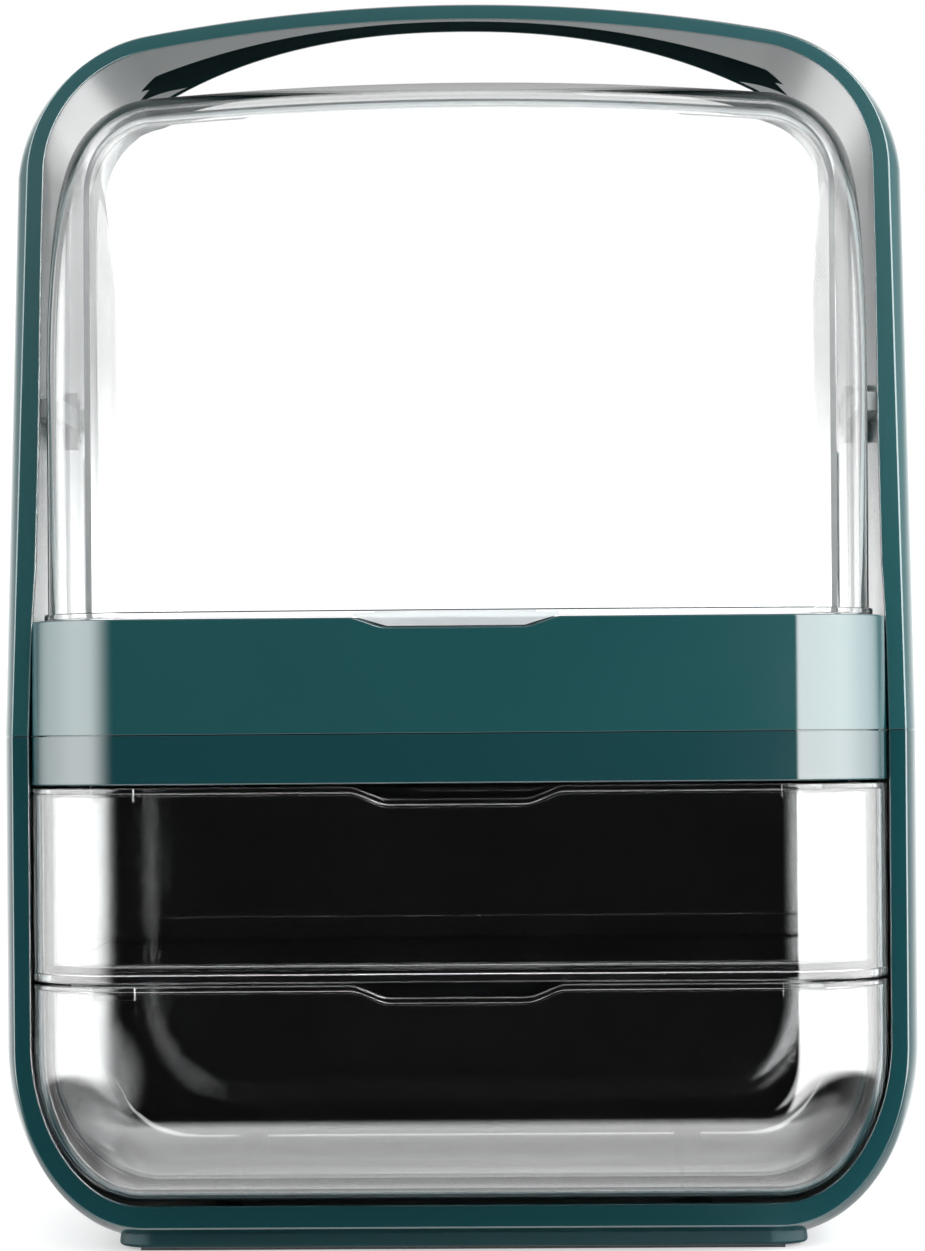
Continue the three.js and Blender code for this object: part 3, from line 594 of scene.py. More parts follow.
def hoop_liner():
    """The liner with a lead-in bar and a boss for each pivot, painted light grey in front of the pivot as a
    painted highlight.
    """
    liner = inner_strip("hoop_liner_skin", LINER_GAP)
    combine(liner, [hand_prism(), grip_prism(LINER_GAP)], "DIFFERENCE")
    start = lean(RIM_FRONT, PIVOT_Z) + 4
    low, high = PIVOT_Z - GUIDE_HALF, PIVOT_Z + GUIDE_HALF
    outline = rounded([(start, low), (PIVOT_Y, low), (PIVOT_Y, high), (start, high)], [0.8, 0, 0, 0.8])
    guides = []
    for side in (-1, 1):
        face, root = side * (OPENING - GUIDE_PROUD), side * (OPENING + 1)
        guides.append(prism("guide", outline, "x", min(face, root), max(face, root)))
        guides.append(rod("boss", BOSS_RADIUS, face, root, PIVOT_Y, PIVOT_Z))
    combine(liner, guides, "UNION")

    def on_guide(c, n):
        return abs(c.z - PIVOT_Z) < BOSS_RADIUS + 0.2 and c.y < PIVOT_Y and abs(c.x) < OPENING - 0.5

    return mark_faces(liner, on_guide)


def handle_grip():
    grip = inner_strip("handle_grip_skin", 0.0)
    combine(grip, [grip_prism(0.0)], "INTERSECT")
    return combine(grip, [hand_prism()], "DIFFERENCE")


# Body


def body_path(inset, rear):
    """The rounded front of the body seen from above, from the right rear round to the left rear."""
    radius = EDGE_RADIUS - inset
    corner_y = FRONT + EDGE_RADIUS
    right = [(BODY_HALF - inset, y) for y in np.linspace(rear, corner_y, 7)[:-1]]
    right += quarter(BODY_HALF - EDGE_RADIUS, corner_y, radius, radius, 25)
    marks = [80, 60, 45, 36, 33, 31.5, 30, 28.5, 27, 25, 23, 21.5, 20, 18.5, 17, 12, 6, 0]
    right += [(x, FRONT + inset) for x in marks]
    return mirrored(right)


def body_sweep(chain, rear, drop=None):
    """Sweeps an (inset, z) cross-section along the body's front."""
    paths = [body_path(inset, rear) for inset, _ in chain]
    sections = []
    for stations in zip(*paths):
        section = []
        for (x, y), (_, z) in zip(stations, chain):
            section.append((x, y, z - (drop(x, y, z) if drop else 0.0)))
        sections.append(section)
    return sections


def close_rear(name, chain, back, drop=None):
    """A body piece whose plan is the rounded front and a straight back."""
    rings = np.array(body_sweep(chain, BACK, drop), float).transpose(1, 0, 2)
    for ring, (inset, _) in zip(rings, chain):
        ring[:, 1] = np.minimum(ring[:, 1], back - inset)
    return sweep(name, rings)


def upper_tray():
    """The upper band, its inner tub and its floor, with the notch that takes the cover's tab."""
    foot, floor = SEAM + SEAM_GAP, SEAM + PLATE
    corners = [(2.0, foot), (0, foot), (0.4, TRAY_TOP), (6.98, TRAY_TOP), (7.03, TRAY_TOP)]
    corners += [(14, TRAY_TOP), (14, floor), (20, floor)]
    chain = rounded_open(corners, [0, SEAM_ROUND, 0.6, 0, 0, 0.8, 2.5, 0])
    return close_rear("upper_tray_skin", chain, BACK, scooped(7.01, TRAY_TOP - 3.5, NOTCH))


def lower_deck():
    """The lower band and the plate above the drawers, with a near-black painted shade below and inside."""
    under, seam, key = SEAM - PLATE, SEAM - SEAM_GAP, SEAM + 0.16
    corners = [(4, under), (2.6, under), (2.6, BAND_BOTTOM), (0, BAND_BOTTOM)]
    corners += [(0, seam), (2.2, seam), (2.2, key), (4, key)]
    deck = close_rear("lower_deck_skin", rounded_open(corners, [0, 0.5, 0.4, 0.5, SEAM_ROUND, 0, 0, 0]), BACK)

    # Faces under the plate and faces looking inward take the painted shade
    def inside(c, n):
        return c.z < SEAM - 2 and (n.z < -0.5 and c.z > BAND_BOTTOM + 1 or faces_inward(c, n))

    return mark_faces(deck, inside)


def back_panel():
    """A plate with a round rear edge. Its front, which shows through the drawers, takes a near-black painted
    shade.
    """
    top = BAND_BOTTOM - 0.3
    rings = []
    for inset, y in [(0, 86), (0, 93.8), (0.09, 94.3), (0.35, 94.7), (0.75, 94.93), (1.2, 95)]:
        right = [(BODY_HALF - inset, z) for z in np.linspace(top - inset, BODY_CORNER_Z, 5)[:-1]]
        right += quarter(BODY_CORNER_X, BODY_CORNER_Z, BODY_ACROSS - inset, BODY_UP - inset, 33)
        right += [(x, right[-1][1]) for x in np.linspace(BODY_CORNER_X, 0, 5)[1:]]
        rings.append([(x, y, z) for x, z in mirrored(right)])
    panel = sweep("back_panel_skin", rings)
    # The faces looking forward take the painted shade
    return mark_faces(panel, lambda c, n: n.y < -0.5)


def plinth():
    """The foot: a low block with round corners, whose top falls inward under the ring."""
    half_x, half_y, radius = 102.3, 65.0, 12.0
    corners = [(3, 0.8), (0, 0.8), (0.6, 6.2), (4, 5.4), (12, 4.8), (16, 4.6)]
    chain = rounded_open(corners, [0, 1.0, 0, 0, 0, 0])
    rings = []
    for inset, z in chain:
        r = radius - inset
        ring = []
        for side_x, side_y, turn in ((1, 1, 0), (-1, 1, 1), (-1, -1, 2), (1, -1, 3)):
            x, y = side_x * (half_x - radius), side_y * (half_y - radius)
            for a in np.linspace(turn * math.pi / 2, (turn + 1) * math.pi / 2, 13):
                ring.append((x + r * math.cos(a), y + r * math.sin(a), z))
        rings.append(ring)
    return sweep("plinth_skin", rings)


# Clear covers


def dome_profile(half, corner, radius):
    """The dome from its right wall to its left one, as (x, radius) stations."""
    flat = half - corner
    right = []
    for t in np.linspace(math.pi / 2, 0, 25):
        drop = corner * (1 - math.cos(t)) + flat**2 / CROWN_SAG
        right.append((flat + corner * math.sin(t), radius - drop))
    right += [(x, radius - x**2 / CROWN_SAG) for x in np.linspace(flat, 0, 13)[1:]]
    return mirrored(right)


def cover_outline(radius):
    """The flip cover side on: up the front from its seat and over the top to the end ray."""
    points = [(PIVOT_Y - radius, z) for z in np.linspace(SEAT, PIVOT_Z, 13)[:-1]]
    for a in np.linspace(0, END_RAY, 49):
        points.append((PIVOT_Y - radius * math.cos(a), PIVOT_Z + radius * math.sin(a)))
    return points


def cover_ear():
    """The rest of the flip cover's side: round behind the pivot, then straight down in front of it."""
    floor = PIVOT_Z - math.sqrt(EAR_RADIUS**2 - EAR_FRONT**2)
    stop = math.atan2(PIVOT_Z - floor, EAR_FRONT)
    ear = []
    for a in np.linspace(END_RAY, 2 * math.pi - stop, 30):
        ear.append((PIVOT_Y - EAR_RADIUS * math.cos(a), PIVOT_Z + EAR_RADIUS * math.sin(a)))
    ear = [p for p in ear if p[0] > PIVOT_Y - EAR_FRONT or p[1] > PIVOT_Z]
    return ear + [(PIVOT_Y - EAR_FRONT, floor), (PIVOT_Y - EAR_FRONT, SEAT)]


def cover_plan(offset):
    """The cover's foot seen from above, offset outward."""
    rear = PIVOT_Y - 2.2
    stations = dome_profile(COVER_HALF + offset, COVER_CORNER + offset, COVER_R + offset)
    points = [(x, PIVOT_Y - r) for x, r in stations]
    return [(COVER_HALF + offset, rear)] + points + [(-COVER_HALF - offset, rear)]


def cover_flange():
    top = SEAT + 1.8
    outline = rounded([(1.1, SEAT), (1.1, top), (-2.0, top), (-2.0, SEAT)], [0.45, 0.45, 0.1, 0.1], 3)
    plans = [cover_plan(offset) for offset, _ in outline]
    sections = [[(x, y, z) for (x, y), (_, z) in zip(stations, outline)] for stations in zip(*plans)]
    return sweep("flange", sections)


def cover_tab():
    low, top = TRAY_TOP - NOTCH[2] + 0.4, SEAT + 0.9
    outline = [(-TAB_HALF, top), (-TAB_HALF, SEAT), (-TAB_FOOT, low)]
    outline += [(TAB_FOOT, low), (TAB_HALF, SEAT), (TAB_HALF, top)]
    return prism("tab", rounded(outline, [0, 1, 3, 3, 1, 0]), "y", COVER_FACE - 1.05, COVER_FACE + 2.0)


def flip_cover():
    """The clear cover with its ears, flange and pull tab. The tab's face takes a light grey painted
    highlight.
    """
    stations = dome_profile(COVER_HALF, COVER_CORNER, COVER_R)
    rings = [[(x, y, z) for y, z in cover_outline(r)] for x, r in stations]
    cols = len(rings[0])
    verts = [p for ring in rings for p in ring]
    faces = strip_faces(len(rings), cols)
    for side, row in ((1, 0), (-1, len(rings) - 1)):
        ear = [(side * COVER_HALF, y, z) for y, z in cover_ear()]
        close_side(verts, faces, range(row * cols, (row + 1) * cols), ear)
    cover = solid_object("flip_cover_shell", verts, faces)
    thicken(cover, CLEAR_WALL)
    combine(cover, [cover_flange(), cover_tab()], "UNION")
    bores = [rod("bore", BORE_RADIUS, side * 110, side * 130, PIVOT_Y, PIVOT_Z) for side in (-1, 1)]
    combine(cover, bores, "DIFFERENCE")

    def on_tab(c, n):
        return c.y < COVER_FACE - 0.9 and n.y < -0.5 and c.z < SEAT + 1.2 and abs(c.x) < TAB_HALF - 0.1

    return mark_faces(cover, on_tab)


def back_cover():
    """The fixed cover inside the flip cover, down its rear wall to the tray. Its front rim takes a light grey
    painted highlight.
    """
    half, corner = COVER_HALF - BACK_COVER_DROP, COVER_CORNER - BACK_COVER_DROP
    front, foot = BACK_COVER_FRONT, TRAY_TOP + 0.3
    rings = []
    for x, r in dome_profile(half, corner, COVER_R - BACK_COVER_DROP):
        over = max(abs(x) - (half - BACK_COVER_PLAN), 0.0)
        round_off = BACK_COVER_PLAN - math.sqrt(max(BACK_COVER_PLAN**2 - over**2, 0.0))
        wall = BACK_COVER_REAR - round_off
        start = math.acos(min((PIVOT_Y - front) / r, 1.0))
        end = math.pi - math.acos(min((wall - PIVOT_Y) / r, 1.0))
        arc = []
        for a in np.linspace(start, end, 49):
            arc.append((x, PIVOT_Y - r * math.cos(a), PIVOT_Z + r * math.sin(a)))
        _, y, top = arc[-1]
        rings.append(arc + [(x, min(wall, y), z) for z in np.linspace(top, foot, 17)[1:]])
    cols = len(rings[0])
    verts = [p for ring in rings for p in ring]
    faces = strip_faces(len(rings), cols)
    for side, row in ((1, 0), (-1, len(rings) - 1)):
        close_side(verts, faces, range(row * cols, (row + 1) * cols), [(side * half, front, foot)])
    cover = solid_object("back_cover_shell", verts, faces, SHARP_BACK_COVER)
    thicken(cover, BACK_COVER_WALL, SHARP_BACK_COVER)
    return mark_faces(cover, lambda c, n: c.y < front + 1 and n.y < -0.9)


# Drawers


def pillow_rings(inset, top, rear, corner):
    """The rounded box of the lower drawer: U-shaped rings from its front face to its rear."""
    corner_x, corner_z, rise = corner
    radius = EDGE_RADIUS - inset
    depths = []
    for t in np.linspace(0, math.pi / 2, 21):
        depths.append((FRONT + inset + radius * (1 - math.cos(t)), inset + radius * (1 - math.sin(t))))
    depths += [(y, inset) for y in np.linspace(FRONT + EDGE_RADIUS, rear, 6)[1:]]
    rings = []
    for y, off in depths:
        right = [(BODY_HALF - off, z) for z in np.linspace(top, corner_z, 7)[:-1]]
        right += quarter(corner_x, corner_z, BODY_HALF - corner_x - off, rise - off, 33)
        bottom = right[-1][1]
        right += [(x, bottom) for x in np.linspace(corner_x, 0, 7)[1:]]
        rings.append([(x, y, z) for x, z in mirrored(right)])
    return rings


def scoop_edge(y, top):
    """The front face's upper edge with its finger scoop, from left to right."""
    marks = [60, 45, 36, 33, 31.5, 30.5, 29, 27.5, 26, 24.5, 23, 21.5, 20.3, 18.5, 15, 8]
    xs = [-x for x in marks] + [0] + marks[::-1]
    return [(x, y, top - scoop(x, *SCOOP)) for x in xs]


def pillow_sheet(name, inset, top, rear, corner, back_face=False):
    """The outer face of a piece of the lower drawer, open above."""
    rings = pillow_rings(inset, top, rear, corner)
    rows, cols = len(rings), len(rings[0])
    verts = [p for ring in rings for p in ring]
    faces = strip_faces(rows, cols)
    close_side(verts, faces, range(cols), scoop_edge(FRONT + inset, top))
    if back_face:
        faces.append(tuple(range((rows - 1) * cols, rows * cols)))
    return solid_object(name, verts, faces)


def lip_scoop(top):
    """The finger scoop in an upper edge at this height."""
    return scooped(12, top - 8, SCOOP)


def front_lip(top):
    """The lip along the upper edge of the lower drawer's front, turned inward."""
    low = top - LIP_THICK
    outline = rounded([(0.02, low), (0.02, top), (LIP, top), (LIP, low)], [0, 0.45, 0.35, 0.3], 3)
    return sweep("lip", body_sweep(outline, FRONT_REAR, lip_scoop(top)))


def lower_front():
    top = SPLIT - SPLIT_GAP
    corner = (FRONT_CORNER_X, FRONT_CORNER_Z, FRONT_UP)
    sheet = pillow_sheet("drawer_lower_front_shell", 0.0, top - 1.0, FRONT_REAR, corner)
    thicken(sheet, CLEAR_WALL)
    return combine(sheet, [front_lip(top)], "UNION")


def upper_front():
    top, foot = BAND_BOTTOM - DRAWER_GAP, SPLIT + SPLIT_GAP
    under, over = top - LIP_THICK, foot + 2.3
    outline = [(0, foot), (0, top), (LIP, top), (LIP, under)]
    outline += [(CLEAR_WALL, under), (CLEAR_WALL, over), (LIP, over), (LIP, foot)]
    outline = rounded(outline, [0.5, 0.5, 0.35, 0.3, 0.3, 0.3, 0.3, 0.3], 3)
    return sweep("drawer_upper_front_shell", body_sweep(outline, FRONT_REAR, lip_scoop(top)))


def lower_tray():
    top = SPLIT - SPLIT_GAP - DRAWER_DROP
    corner = (BODY_CORNER_X, BODY_CORNER_Z, BODY_UP)
    sheet = pillow_sheet("drawer_lower_tray_shell", DRAWER_INSET, top, DRAWER_REAR, corner, back_face=True)
    return thicken(sheet, DRAWER_WALL)


def upper_drawer_tray():
    top, foot = BAND_BOTTOM - DRAWER_GAP - DRAWER_DROP, SPLIT + SPLIT_GAP + DRAWER_LIFT
    inside, floor = DRAWER_INSET + DRAWER_WALL, foot + DRAWER_WALL
    corners = [(16, foot), (DRAWER_INSET, foot), (DRAWER_INSET, top)]
    corners += [(inside, top), (inside, floor), (18, floor)]
    chain = rounded_open(corners, [0, 2.5, 0.4, 0.4, 1.0, 0])
    return close_rear("drawer_upper_tray_shell", chain, DRAWER_REAR + DRAWER_INSET, lip_scoop(top))


# Materials


def material(name, **sockets):
    """A material with values on its shader's sockets, whose names are written with _ for a space."""
    mat = bpy.data.materials.new(name)
    mat.use_nodes = True
    shader = mat.node_tree.nodes["Principled BSDF"]
    for key, value in sockets.items():
        shader.inputs[key.replace("_", " ")].default_value = value
    return mat, mat.node_tree, shader


def noise(tree, scale, detail):
    coords = tree.nodes.new("ShaderNodeTexCoord")
    node = tree.nodes.new("ShaderNodeTexNoise")
    node.inputs["Scale"].default_value = scale
    node.inputs["Detail"].default_value = detail
    tree.links.new(coords.outputs["Object"], node.inputs["Vector"])
    return node.outputs["Fac"]


def tinted(tree, shader, scale, detail, low, high):
    """Base colour that drifts between two close tones."""
    node = tree.nodes.new("ShaderNodeValToRGB")
    node.color_ramp.elements[0].position = 0.3
    node.color_ramp.elements[1].position = 0.7
    node.color_ramp.elements[0].color = (*low, 1)
    node.color_ramp.elements[1].color = (*high, 1)
    tree.links.new(noise(tree, scale, detail), node.inputs["Fac"])
    tree.links.new(node.outputs["Color"], shader.inputs["Base Color"])


def roughened(tree, shader, scale, detail, low, high):
    """Roughness that drifts between two values."""
    node = tree.nodes.new("ShaderNodeMapRange")
    node.inputs["To Min"].default_value = low
    node.inputs["To Max"].default_value = high
    tree.links.new(noise(tree, scale, detail), node.inputs["Value"])
    tree.links.new(node.outputs["Result"], shader.inputs["Roughness"])


def bump(tree, shader, scale, strength, distance):
    """A fine grain. The distance is in metres."""
    node = tree.nodes.new("ShaderNodeBump")
    node.inputs["Strength"].default_value = strength
    node.inputs["Distance"].default_value = distance
    tree.links.new(noise(tree, scale, 2.0), node.inputs["Height"])
    tree.links.new(node.outputs["Normal"], shader.inputs["Normal"])


def green_gloss(name, low, high, rough=0.07, shine=0.5):
    mat, tree, shader = material(name, IOR=1.5, Specular_IOR_Level=shine)
    tinted(tree, shader, 9.0, 3.0, low, high)
    roughened(tree, shader, 60.0, 3.0, rough, rough + 0.04)
    bump(tree, shader, 90.0, 0.02, 0.0003)
    return mat


# The grip insert under the handle: matte, with a dark colour that is partly its own and partly painted shade
# under the handle
def green_matte():
    mat, tree, shader = material("green_matte", IOR=1.45, Specular_IOR_Level=0.0)
    tinted(tree, shader, 30.0, 3.0, (0.0150, 0.0290, 0.0315), (0.0175, 0.0340, 0.0365))
    roughened(tree, shader, 500.0, 2.0, 0.7, 0.85)
    bump(tree, shader, 2600.0, 0.35, 0.0002)
    return mat


# Near-black painted shade for the faces inside the green body and for the parts inside it, which lie in shade
def dark_inside():
    mat, tree, shader = material("dark_inside", IOR=1.45, Specular_IOR_Level=0.04)
    tinted(tree, shader, 12.0, 3.0, (0.0085, 0.0088, 0.0098), (0.0120, 0.0125, 0.0140))
    roughened(tree, shader, 90.0, 2.0, 0.38, 0.5)
    return mat


def clear_plastic(name, ior):
    mat, tree, shader = material(name, IOR=ior, Transmission_Weight=1.0)
    tinted(tree, shader, 5.0, 2.0, (0.975, 0.985, 0.985), (0.995, 0.998, 1.0))
    roughened(tree, shader, 45.0, 3.0, 0.0, 0.02)
    return mat


# Rough and half clear, with a light grey that is a painted highlight for the light that clear edges catch
def painted_highlight_edge():
    mat, tree, shader = material("clear_painted_highlight", IOR=1.49, Transmission_Weight=0.45)
    tinted(tree, shader, 25.0, 2.0, (0.66, 0.71, 0.73), (0.80, 0.84, 0.85))
    roughened(tree, shader, 300.0, 2.0, 0.25, 0.4)
    return mat


def rubber():
    mat, tree, shader = material("rubber_black", IOR=1.45)
    tinted(tree, shader, 80.0, 3.0, (0.006, 0.006, 0.0065), (0.014, 0.014, 0.015))
    roughened(tree, shader, 300.0, 2.0, 0.8, 0.92)
    bump(tree, shader, 1500.0, 0.3, 0.0002)
    return mat


def paint(obj, *mats):
    """Gives a piece its materials. The faces keep their marks."""
    marks = [face.material_index for face in obj.data.polygons]
    obj.data.materials.clear()
    for mat in mats:
        obj.data.materials.append(mat)
    obj.data.polygons.foreach_set("material_index", [min(mark, len(mats) - 1) for mark in marks])


# Studio and camera


def math_node(tree, operation, first, second=0.0):
    made = tree.nodes.new("ShaderNodeMath")
    made.operation = operation
    for k, value in enumerate((first, second)):
        if isinstance(value, (int, float)):
            made.inputs[k].default_value = value
        else:
            tree.links.new(value, made.inputs[k])
    return made.outputs[0]


def chained(tree, operation, values):
    out, *rest = values
    for value in rest:
        out = math_node(tree, operation, out, value)
    return out


def product(tree, *factors):
    return chained(tree, "MULTIPLY", factors)


def highest(tree, *levels):
    return chained(tree, "MAXIMUM", levels)


def blend(tree, share, low, high):
    """low where the share is 0, high where it is 1."""
    rest = math_node(tree, "SUBTRACT", 1.0, share)
    return math_node(tree, "ADD", product(tree, rest, low), product(tree, share, high))


def edge(tree, angle, start, stop):
    """0 up to the first angle and 1 from the second, in degrees, or the other way round."""
    made = tree.nodes.new("ShaderNodeMapRange")
    made.interpolation_type = "SMOOTHSTEP"
    flip = start > stop
    made.inputs["From Min"].default_value = math.radians(min(start, stop))
    made.inputs["From Max"].default_value = math.radians(max(start, stop))
    made.inputs["To Min"].default_value = 1.0 if flip else 0.0
    made.inputs["To Max"].default_value = 0.0 if flip else 1.0
    tree.links.new(angle, made.inputs["Value"])
    return made.outputs["Result"]


def ray_kinds(tree):
    """Which rays see the background straight, which through clear pieces, and which in a reflection."""
    paths = tree.nodes.new("ShaderNodeLightPath")
    unscattered = math_node(tree, "LESS_THAN", paths.outputs["Diffuse Depth"], 0.5)
    straight = math_node(tree, "LESS_THAN", paths.outputs["Glossy Depth"], 0.5)
    seen = paths.outputs["Is Camera Ray"]
    through = product(tree, paths.outputs["Is Transmission Ray"], unscattered, straight)
    bent = highest(tree, paths.outputs["Is Glossy Ray"], paths.outputs["Is Transmission Ray"])
    reflected = product(tree, bent, unscattered, math_node(tree, "SUBTRACT", 1.0, straight))
    return seen, through, reflected


def white_floor():
    """A white floor that keeps the object's shadow. Reflections see the table of the studio instead."""
    size = 6.0
    mesh = bpy.data.meshes.new("floor")
    corners = [(-size, -size, 0), (size, -size, 0), (size, size, 0), (-size, size, 0)]
    mesh.from_pydata(corners, [], [(0, 1, 2, 3)])
    floor = new_object("floor", mesh)
    white = {"Base_Color": (0.9, 0.9, 0.9, 1), "Emission_Color": (1, 1, 1, 1)}
    mat, tree, shader = material("floor_white", Roughness=0.9, Specular_IOR_Level=0.0, **white)
    seen, through, reflected = ray_kinds(tree)
    lift = product(tree, highest(tree, seen, through), FLOOR_LIFT)
    tree.links.new(lift, shader.inputs["Emission Strength"])
    clear = tree.nodes.new("ShaderNodeBsdfTransparent")
    mixed = tree.nodes.new("ShaderNodeMixShader")
    tree.links.new(reflected, mixed.inputs["Fac"])
    tree.links.new(shader.outputs[0], mixed.inputs[1])
    tree.links.new(clear.outputs[0], mixed.inputs[2])
    tree.links.new(mixed.outputs[0], tree.nodes["Material Output"].inputs["Surface"])
    paint(floor, mat)


def reflected_studio(tree, x, y, z):
    """What gloss reflects, by bearing from the front and by height: side panels, room and table."""
    bearing = math_node(tree, "ARCTAN2", x, math_node(tree, "MULTIPLY", y, -1.0))
    leftward = math_node(tree, "MULTIPLY", bearing, -1.0)
    turned = math_node(tree, "ABSOLUTE", bearing)
    height = math_node(tree, "ARCSINE", z)

    # A tall soft panel at each side, with a dark gap in front between them
    tall = product(tree, edge(tree, height, -13, -9), edge(tree, height, 62, 52))
    right = product(tree, edge(tree, bearing, 5.0, 8.4), edge(tree, bearing, 142, 100), RIGHT_PANEL)
    left = product(tree, edge(tree, leftward, 12, 45), edge(tree, leftward, 142, 100), LEFT_PANEL)
    fading = blend(tree, edge(tree, turned, 55, 115), 1.0, 0.4)
    panels = product(tree, math_node(tree, "ADD", right, left), tall, fading)

    # The room: behind the object, in its rear corners, beside it and above it
    middle = product(tree, edge(tree, height, -8.4, -5.4), edge(tree, height, 5.5, 1.5))
    shoulders = blend(tree, edge(tree, bearing, -30, 30), 0.6 * ROOM_LEVEL, ROOM_LEVEL)
    behind = product(tree, edge(tree, turned, 160, 171), blend(tree, middle, BEHIND_LEVEL, shoulders))
    corners = product(tree, edge(tree, turned, 142, 174), edge(tree, turned, 173, 170), tall, CORNER_LEVEL)
    aside = product(tree, edge(tree, turned, 50, 95), ASIDE_LEVEL)
    above = edge(tree, height, 28, 42)

    # The table, brightest in front of the object, and the ground all round it
    table = product(tree, edge(tree, height, -19, -25), edge(tree, turned, 100, 60), TABLE_LEVEL)
    table = product(tree, table, blend(tree, edge(tree, turned, 20, 50), 1.0, 0.5))
    table = product(tree, table, blend(tree, edge(tree, height, -25, -55), 1.0, 0.7))
    deeper = edge(tree, height, -42, -58)
    ground = product(tree, edge(tree, height, -15, -30), blend(tree, deeper, 0.75, 2.3))

    level = highest(tree, panels, aside, behind, above, corners, table, ground)
    return math_node(tree, "ADD", level, GAP_LEVEL)


def studio_world():
    """A white background, the studio that gloss reflects, and a soft light on the object from all sides."""
    world = bpy.data.worlds.new("studio")
    bpy.context.scene.world = world
    world.use_nodes = True
    tree = world.node_tree
    tree.nodes.clear()
    coords = tree.nodes.new("ShaderNodeTexCoord")
    split = tree.nodes.new("ShaderNodeSeparateXYZ")
    tree.links.new(coords.outputs["Generated"], split.inputs[0])
    x, y, z = split.outputs
    soft_level = math_node(tree, "ADD", product(tree, z, 0.15), 0.76)
    seen, through, reflected = ray_kinds(tree)
    level = blend(tree, reflected, soft_level, reflected_studio(tree, x, y, z))
    level = blend(tree, through, level, THROUGH_LEVEL)
    level = blend(tree, seen, level, 1.0)
    background = tree.nodes.new("ShaderNodeBackground")
    background.inputs["Color"].default_value = (1, 1, 1, 1)
    tree.links.new(level, background.inputs["Strength"])
    output = tree.nodes.new("ShaderNodeOutputWorld")
    tree.links.new(background.outputs[0], output.inputs[0])


def side_lamp(name, x, y, energy):
    """A large soft lamp beside the object that leaves no reflection of its own."""
    data = bpy.data.lights.new(name, "AREA")
    data.shape = "RECTANGLE"
    data.size, data.size_y = LAMP_SIZE
    data.energy = energy
    lamp = new_object(name, data)
    lamp.location = (x, y, LAMP_HEIGHT)
    aim = Vector(LAMP_AIM) - lamp.location
    lamp.rotation_euler = aim.to_track_quat("-Z", "Y").to_euler()
    lamp.visible_glossy = False
    lamp.visible_transmission = False
    lamp.visible_camera = False


def photo_camera():
    data = bpy.data.cameras.new("camera")
    camera = new_object("camera", data)
    bpy.context.scene.camera = camera
    data.sensor_fit = "AUTO"
    data.sensor_width = 36
    data.lens = CAMERA_LENS
    data.shift_y = CAMERA_SHIFT
    data.clip_start = 0.01
    camera.location = CAMERA_PLACE
    camera.rotation_euler = [math.radians(turn) for turn in CAMERA_TURN]


photo_camera()
studio_world()
side_lamp("lamp_right", 0.46, -0.20, 2.4)
side_lamp("lamp_left", -0.46, -0.12, 1.0)
white_floor()

# The hoop and the lower ring take brighter copies of the upper and lower greens: painted light against the
# shade that the body's front casts on the ring
HOOP_PAINTED_LIGHT = green_gloss("green_gloss_hoop_painted_light", (0.0118, 0.0770, 0.0840), (0.0140, 0.0840, 0.0915))
RING_PAINTED_LIGHT = green_gloss("green_gloss_ring_painted_light", (0.0072, 0.0540, 0.0620), (0.0086, 0.0590, 0.0675))
GLOSS = green_gloss("green_gloss_upper", (0.0105, 0.0655, 0.0715), (0.0122, 0.0715, 0.0775))
DEEP = green_gloss("green_gloss_lower", (0.0062, 0.0440, 0.0510), (0.0074, 0.0480, 0.0550))
SATIN = green_gloss("green_satin_foot", (0.0085, 0.0380, 0.0430), (0.0100, 0.0420, 0.0470), 0.3, 0.08)
LINER = green_gloss("green_satin_liner", (0.0105, 0.0655, 0.0715), (0.0122, 0.0715, 0.0775), 0.14)
MATTE_PAINTED_SHADE = green_matte()
PAINTED_SHADE = dark_inside()
CLEAR = clear_plastic("clear_plastic", 1.38)
COVER = clear_plastic("clear_cover", 1.16)
TRAY = clear_plastic("clear_tray", 1.35)
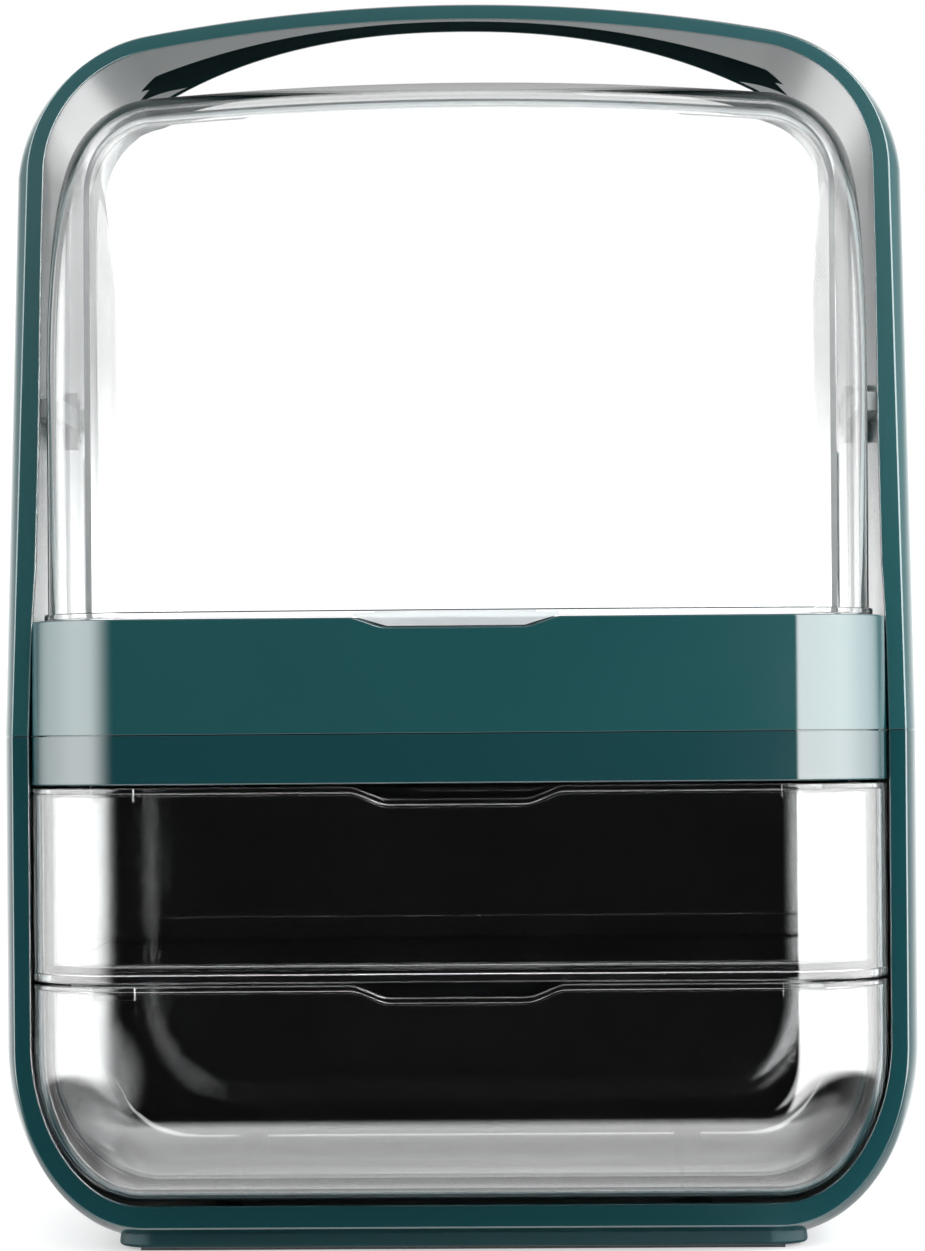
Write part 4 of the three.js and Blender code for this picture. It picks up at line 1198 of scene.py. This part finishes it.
PAINTED_HIGHLIGHT = painted_highlight_edge()
RUBBER = rubber()

# What the marked faces of a piece take, by the piece's own material: painted shade inside the green body, and
# a painted highlight on the covers and on the liner's pivot guides
SECOND = {RING_PAINTED_LIGHT: PAINTED_SHADE, DEEP: PAINTED_SHADE, COVER: PAINTED_HIGHLIGHT, LINER: PAINTED_HIGHLIGHT}

PIECES = [
    (lower_shell, "case", RING_PAINTED_LIGHT, "green_gloss", "lower_shell"),
    (upper_hoop, "case", HOOP_PAINTED_LIGHT, "green_gloss", "upper_hoop"),
    (hoop_liner, "case", LINER, "green_gloss", "hoop_liner"),
    (handle_grip, "case", MATTE_PAINTED_SHADE, "green_matte", "handle_grip"),
    (upper_tray, "case", GLOSS, "green_gloss", "upper_tray"),
    (lower_deck, "case", DEEP, "green_gloss", "lower_deck"),
    (plinth, "case", SATIN, "green_gloss", "base_plinth"),
    (back_panel, "case", DEEP, "green_gloss", "back_panel"),
    (back_cover, "case", COVER, "clear_plastic", "back_cover"),
    (flip_cover, "cover", COVER, "clear_plastic", "flip_cover"),
    (lower_front, "drawer_lower", CLEAR, "clear_plastic", "drawer_lower_front"),
    (lower_tray, "drawer_lower", TRAY, "clear_plastic", "drawer_lower_tray"),
    (upper_front, "drawer_upper", CLEAR, "clear_plastic", "drawer_upper_front"),
    (upper_drawer_tray, "drawer_upper", TRAY, "clear_plastic", "drawer_upper_tray"),
]

for build, body, mat, slot, node in PIECES:
    piece = build()
    paint(piece, mat, SECOND.get(mat, mat))
    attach(piece, body)
    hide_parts(node)
    even_shading(piece)

# Materials of the carried-over nodes that still show, by how their names start. The frames, dividers and
# runners take the near-black painted shade. The rest are clear.
CARRIED = {"side_frame": PAINTED_SHADE, "divider": PAINTED_SHADE, "floor_runner": PAINTED_SHADE, "foot_strip": RUBBER, "pivot": GLOSS}

for name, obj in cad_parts.items():
    if obj.hide_render:
        continue
    mats = [mat for start, mat in CARRIED.items() if name.startswith(start)]
    paint(obj, *(mats or [CLEAR]))
    soften(obj, 0.35)
